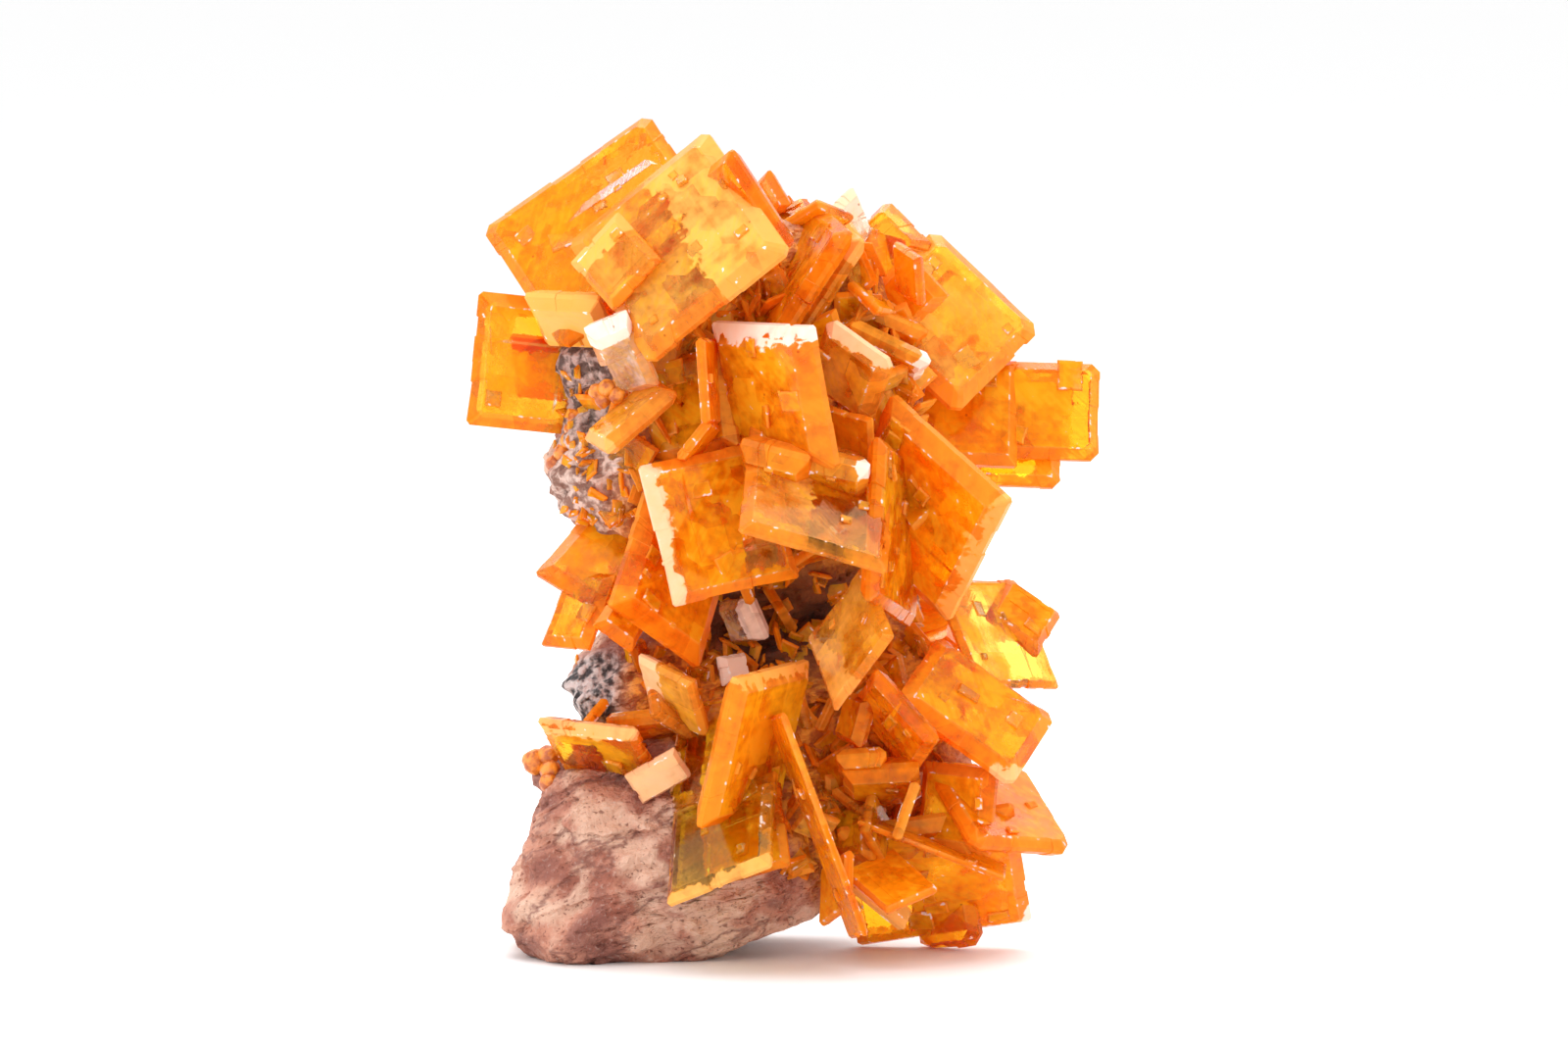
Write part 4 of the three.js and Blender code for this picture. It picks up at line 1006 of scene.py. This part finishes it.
# Where the finer tablets crowd, in the same terms, but with the least and the greatest edge
GROWTH = [
    ((750, 325), (5, 2.6), 34, (1.4, 3.6)),
    ((790, 285), (3.4, 3), 20, (1.2, 3)),
    ((880, 330), (4, 4.6), 34, (1.4, 3.4)),
    ((925, 400), (1.6, 3), 14, (1.4, 3)),
    ((690, 400), (4.4, 4), 34, (1.2, 3)),
    ((645, 430), (2, 4), 20, (0.8, 2.2)),
    ((690, 560), (3.4, 6), 24, (1.2, 3)),
    ((640, 600), (1.6, 3), 14, (1, 2.2)),
    ((800, 600), (6, 2.4), 24, (0.6, 1.8)),
    ((770, 655), (5, 3.6), 34, (0.7, 2.2)),
    ((700, 700), (3, 3), 22, (0.8, 2)),
    ((870, 730), (5, 5), 50, (1, 2.8)),
    ((770, 760), (5, 3), 22, (1, 2.6)),
    ((850, 840), (4, 4), 44, (0.8, 2.4)),
    ((930, 870), (3, 4), 24, (1, 2.6)),
    ((950, 640), (2, 8), 34, (1.2, 3)),
    ((625, 765), (2.6, 1), 14, (0.6, 1.6)),
    ((600, 640), (1, 2), 8, (0.6, 1.4)),
    ((590, 410), (1.6, 3), 14, (0.4, 1.2)),
    ((595, 480), (2.4, 3.4), 24, (0.3, 1.4)),
    ((615, 525), (2, 2), 16, (0.4, 1.5)),
    ((16, 8, 45), (6, 6), 50, (1, 3)),
    ((20, 8, 33), (3, 8), 40, (1, 3)),
    ((18, 8, 18), (4, 7), 40, (0.8, 2.6)),
    ((2, 8, 41), (5, 5), 24, (0.6, 2)),
    ((8, 8, 26), (7, 9), 26, (0.5, 1.5)),
]


def on_skin(x, z, back):
    """The rock's surface on a line through (x, z), seen from the front or from behind."""
    if back:
        return SKIN.ray_cast(Vector((x, WELL_BEHIND_MM, z)), Vector((0, -1, 0)))[0]
    sight = Vector((x, 0, z)) - EYE
    return SKIN.ray_cast(EYE, sight.normalized())[0]


def fine_growth(at, spread, count, size, seed):
    """Small tablets, scattered by chance and each seated on the rock's skin."""
    rng = chance(seed)
    back = len(at) == 3
    middle = Vector(at) if back else seen(at, 0)[0]
    tablets = []
    for _ in range(count):
        x = middle.x + spread[0] * rng.normal(0, 0.6)
        z = middle.z + spread[1] * rng.normal(0, 0.6)
        pose = Euler(rng.uniform(-pi, pi, 3)).to_matrix()
        edge = rng.uniform(*size)
        longer = rng.uniform(0.7, 1.2)
        seat = on_skin(x, z, back)
        if seat is None:
            continue
        sides = pose @ Vector((edge, 0, 0)), pose @ Vector((0, edge * longer, 0))
        tablets.append(tablet(seat, *sides, 0.14 * edge + 0.12, 0.16 * edge))
    return tablets


small, fine = [], []
for seed, place in enumerate(CLUMPS + BACK_CLUMPS):
    small += clump(*place, seed)
for seed, place in enumerate(GROWTH):
    fine += fine_growth(*place, 500 + seed)
for label, tablets in (("clump_crystals", small), ("fine_crystals", fine)):
    for i, t in enumerate(tablets):
        t["cloud"] = 0.55 + 0.4 * share(i, 0.618)
        t["shade"] = ("orange", "deep", "yellow", "orange", "peach")[i % 5]
    piece = crystal_piece(label, tablets, SHADES, 90, 0.03, 1)
    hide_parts("matrix")
    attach(piece, "root")
print(len(small), "small tablets,", len(fine), "finer ones")

# %% [markdown]
# ## Mimetite beads
#
# Each bead is a ball pushed slightly out of round, with a fine grain and a waxy skin.

# %% Beads
BEADS = {
    "upper_beads": [
        ((608, 399), -6.6, 0.55),
        ((619, 396), -6.9, 0.62),
        ((629, 403), -7, 0.6),
        ((615, 408), -6.7, 0.58),
    ],
    "left_beads": [
        ((588, 426), 0.2, 0.64),
        ((584, 438), 0.4, 0.6),
        ((580, 450), 0.6, 0.62),
        ((574, 462), 0.9, 0.68),
        ((567, 474), 1.4, 0.68),
    ],
    "base_beads": [
        ((547, 777), 0.5, 0.95),
        ((559, 771), 0.1, 0.75),
        ((561, 785), -0.4, 0.75),
        ((560, 798), -0.9, 0.7),
    ],
}


def bead_look():
    look = Look("mimetite")
    mm = look.place_in_mm()
    patches = look.noise(mm, 1.6, 5)
    colour = look.mix(patches.between(0.35, 0.65), (0.42, 0.08, 0.006, 1), (0.85, 0.27, 0.02, 1))
    bump = look.node("ShaderNodeBump", None, {"Strength": 0.5, "Distance": 0.1 * MM, "Height": look.noise(mm, 6, 4)})
    values = {"Base Color": colour, "Roughness": 0.38, "Normal": bump, "Coat Weight": 0.2}
    return look.show(look.node("ShaderNodeBsdfPrincipled", None, values))


bead_material = bead_look()
for name, beads in BEADS.items():
    balls = []
    for at, y, radius in beads:
        bpy.ops.mesh.primitive_ico_sphere_add(subdivisions=4, radius=1)
        ball = bpy.context.object
        p = np.array([v.co[:] for v in ball.data.vertices])
        centre = np.array(seen(at, y)[0])
        p = p * (radius * (1 + 0.1 * rough(p + centre, 1.3, 3, 7)))[:, None] + centre
        ball.data.vertices.foreach_set("co", (p * MM).ravel())
        ball.data.polygons.foreach_set("use_smooth", [True] * len(ball.data.polygons))
        balls.append(ball)
    with bpy.context.temp_override(active_object=balls[0], selected_editable_objects=balls):
        bpy.ops.object.join()
    piece = balls[0]
    piece.name = name + "_round"
    piece.data.materials.append(bead_material)
    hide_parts(name)
    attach(piece, "root")
print("beads made")

# %% [markdown]
# ## Studio
#
# A pale floor in a bright, even room, which gives clear crystal something white to pass on from every side. A large
# soft light above, one at each side, one behind and a weak one in front add the glints. There is no back wall, so the
# specimen can be looked at from all round.

# %% Floor and lights
FLOOR_REACH, JUST_BELOW = 6, 0.00002
AIM = Vector((0.01, 0, 0.03))  # the middle of the specimen


def floor():
    """A wide flat floor, which reaches past the frame at any height of the camera."""
    paper = Look("paper")
    values = {"Base Color": (0.93, 0.93, 0.93, 1), "Roughness": 0.6}
    mesh = bpy.data.meshes.new("floor")
    corners = [(-1, -1), (1, -1), (1, 1), (-1, 1)]
    mesh.from_pydata([(x * FLOOR_REACH, y * FLOOR_REACH, -JUST_BELOW) for x, y in corners], [], [(0, 1, 2, 3)])
    made = put("floor", mesh)
    mesh.materials.append(paper.show(paper.node("ShaderNodeBsdfPrincipled", None, values)))


def softbox(name, at, size, power):
    data = bpy.data.lights.new(name, "AREA")
    data.shape, data.size, data.size_y, data.energy = "RECTANGLE", size[0], size[1], power
    lamp = put(name, data)
    lamp.location = at
    lamp.rotation_euler = (AIM - Vector(at)).to_track_quat("-Z", "Y").to_euler()


floor()
softbox("above", (0, -0.1, 0.7), (0.8, 0.6), 2.6)
softbox("left", (-0.6, -0.25, 0.25), (0.4, 0.6), 1.2)
softbox("right", (0.6, -0.2, 0.25), (0.4, 0.6), 0.8)
softbox("back", (0, 0.3, 0.45), (0.8, 0.3), 2)
softbox("front", (-0.15, -0.9, 0.5), (0.4, 0.3), 0.8)
world = bpy.data.worlds.new("room")
world.use_nodes = True
world.node_tree.nodes["Background"].inputs[0].default_value = (1, 1, 1, 1)
world.node_tree.nodes["Background"].inputs[1].default_value = 1.05
bpy.context.scene.world = world
bpy.context.scene.view_settings.view_transform = "Standard"

# %% [markdown]
# ## Camera
#
# The camera is the eye that the tablets were measured from, slightly above the specimen and with a long lens.

# %% Camera
data = bpy.data.cameras.new("front")
data.sensor_width = 36
data.lens = 36 * EYE_DISTANCE_MM / (2 * MID_X * MM_PER_PIXEL)
data.clip_start, data.clip_end = 0.01, 10
camera = put("front", data)
camera.location = EYE * MM
camera.rotation_euler = AHEAD.to_track_quat("-Z", "Y").to_euler()
bpy.context.scene.camera = camera
print("lens", round(data.lens, 1))
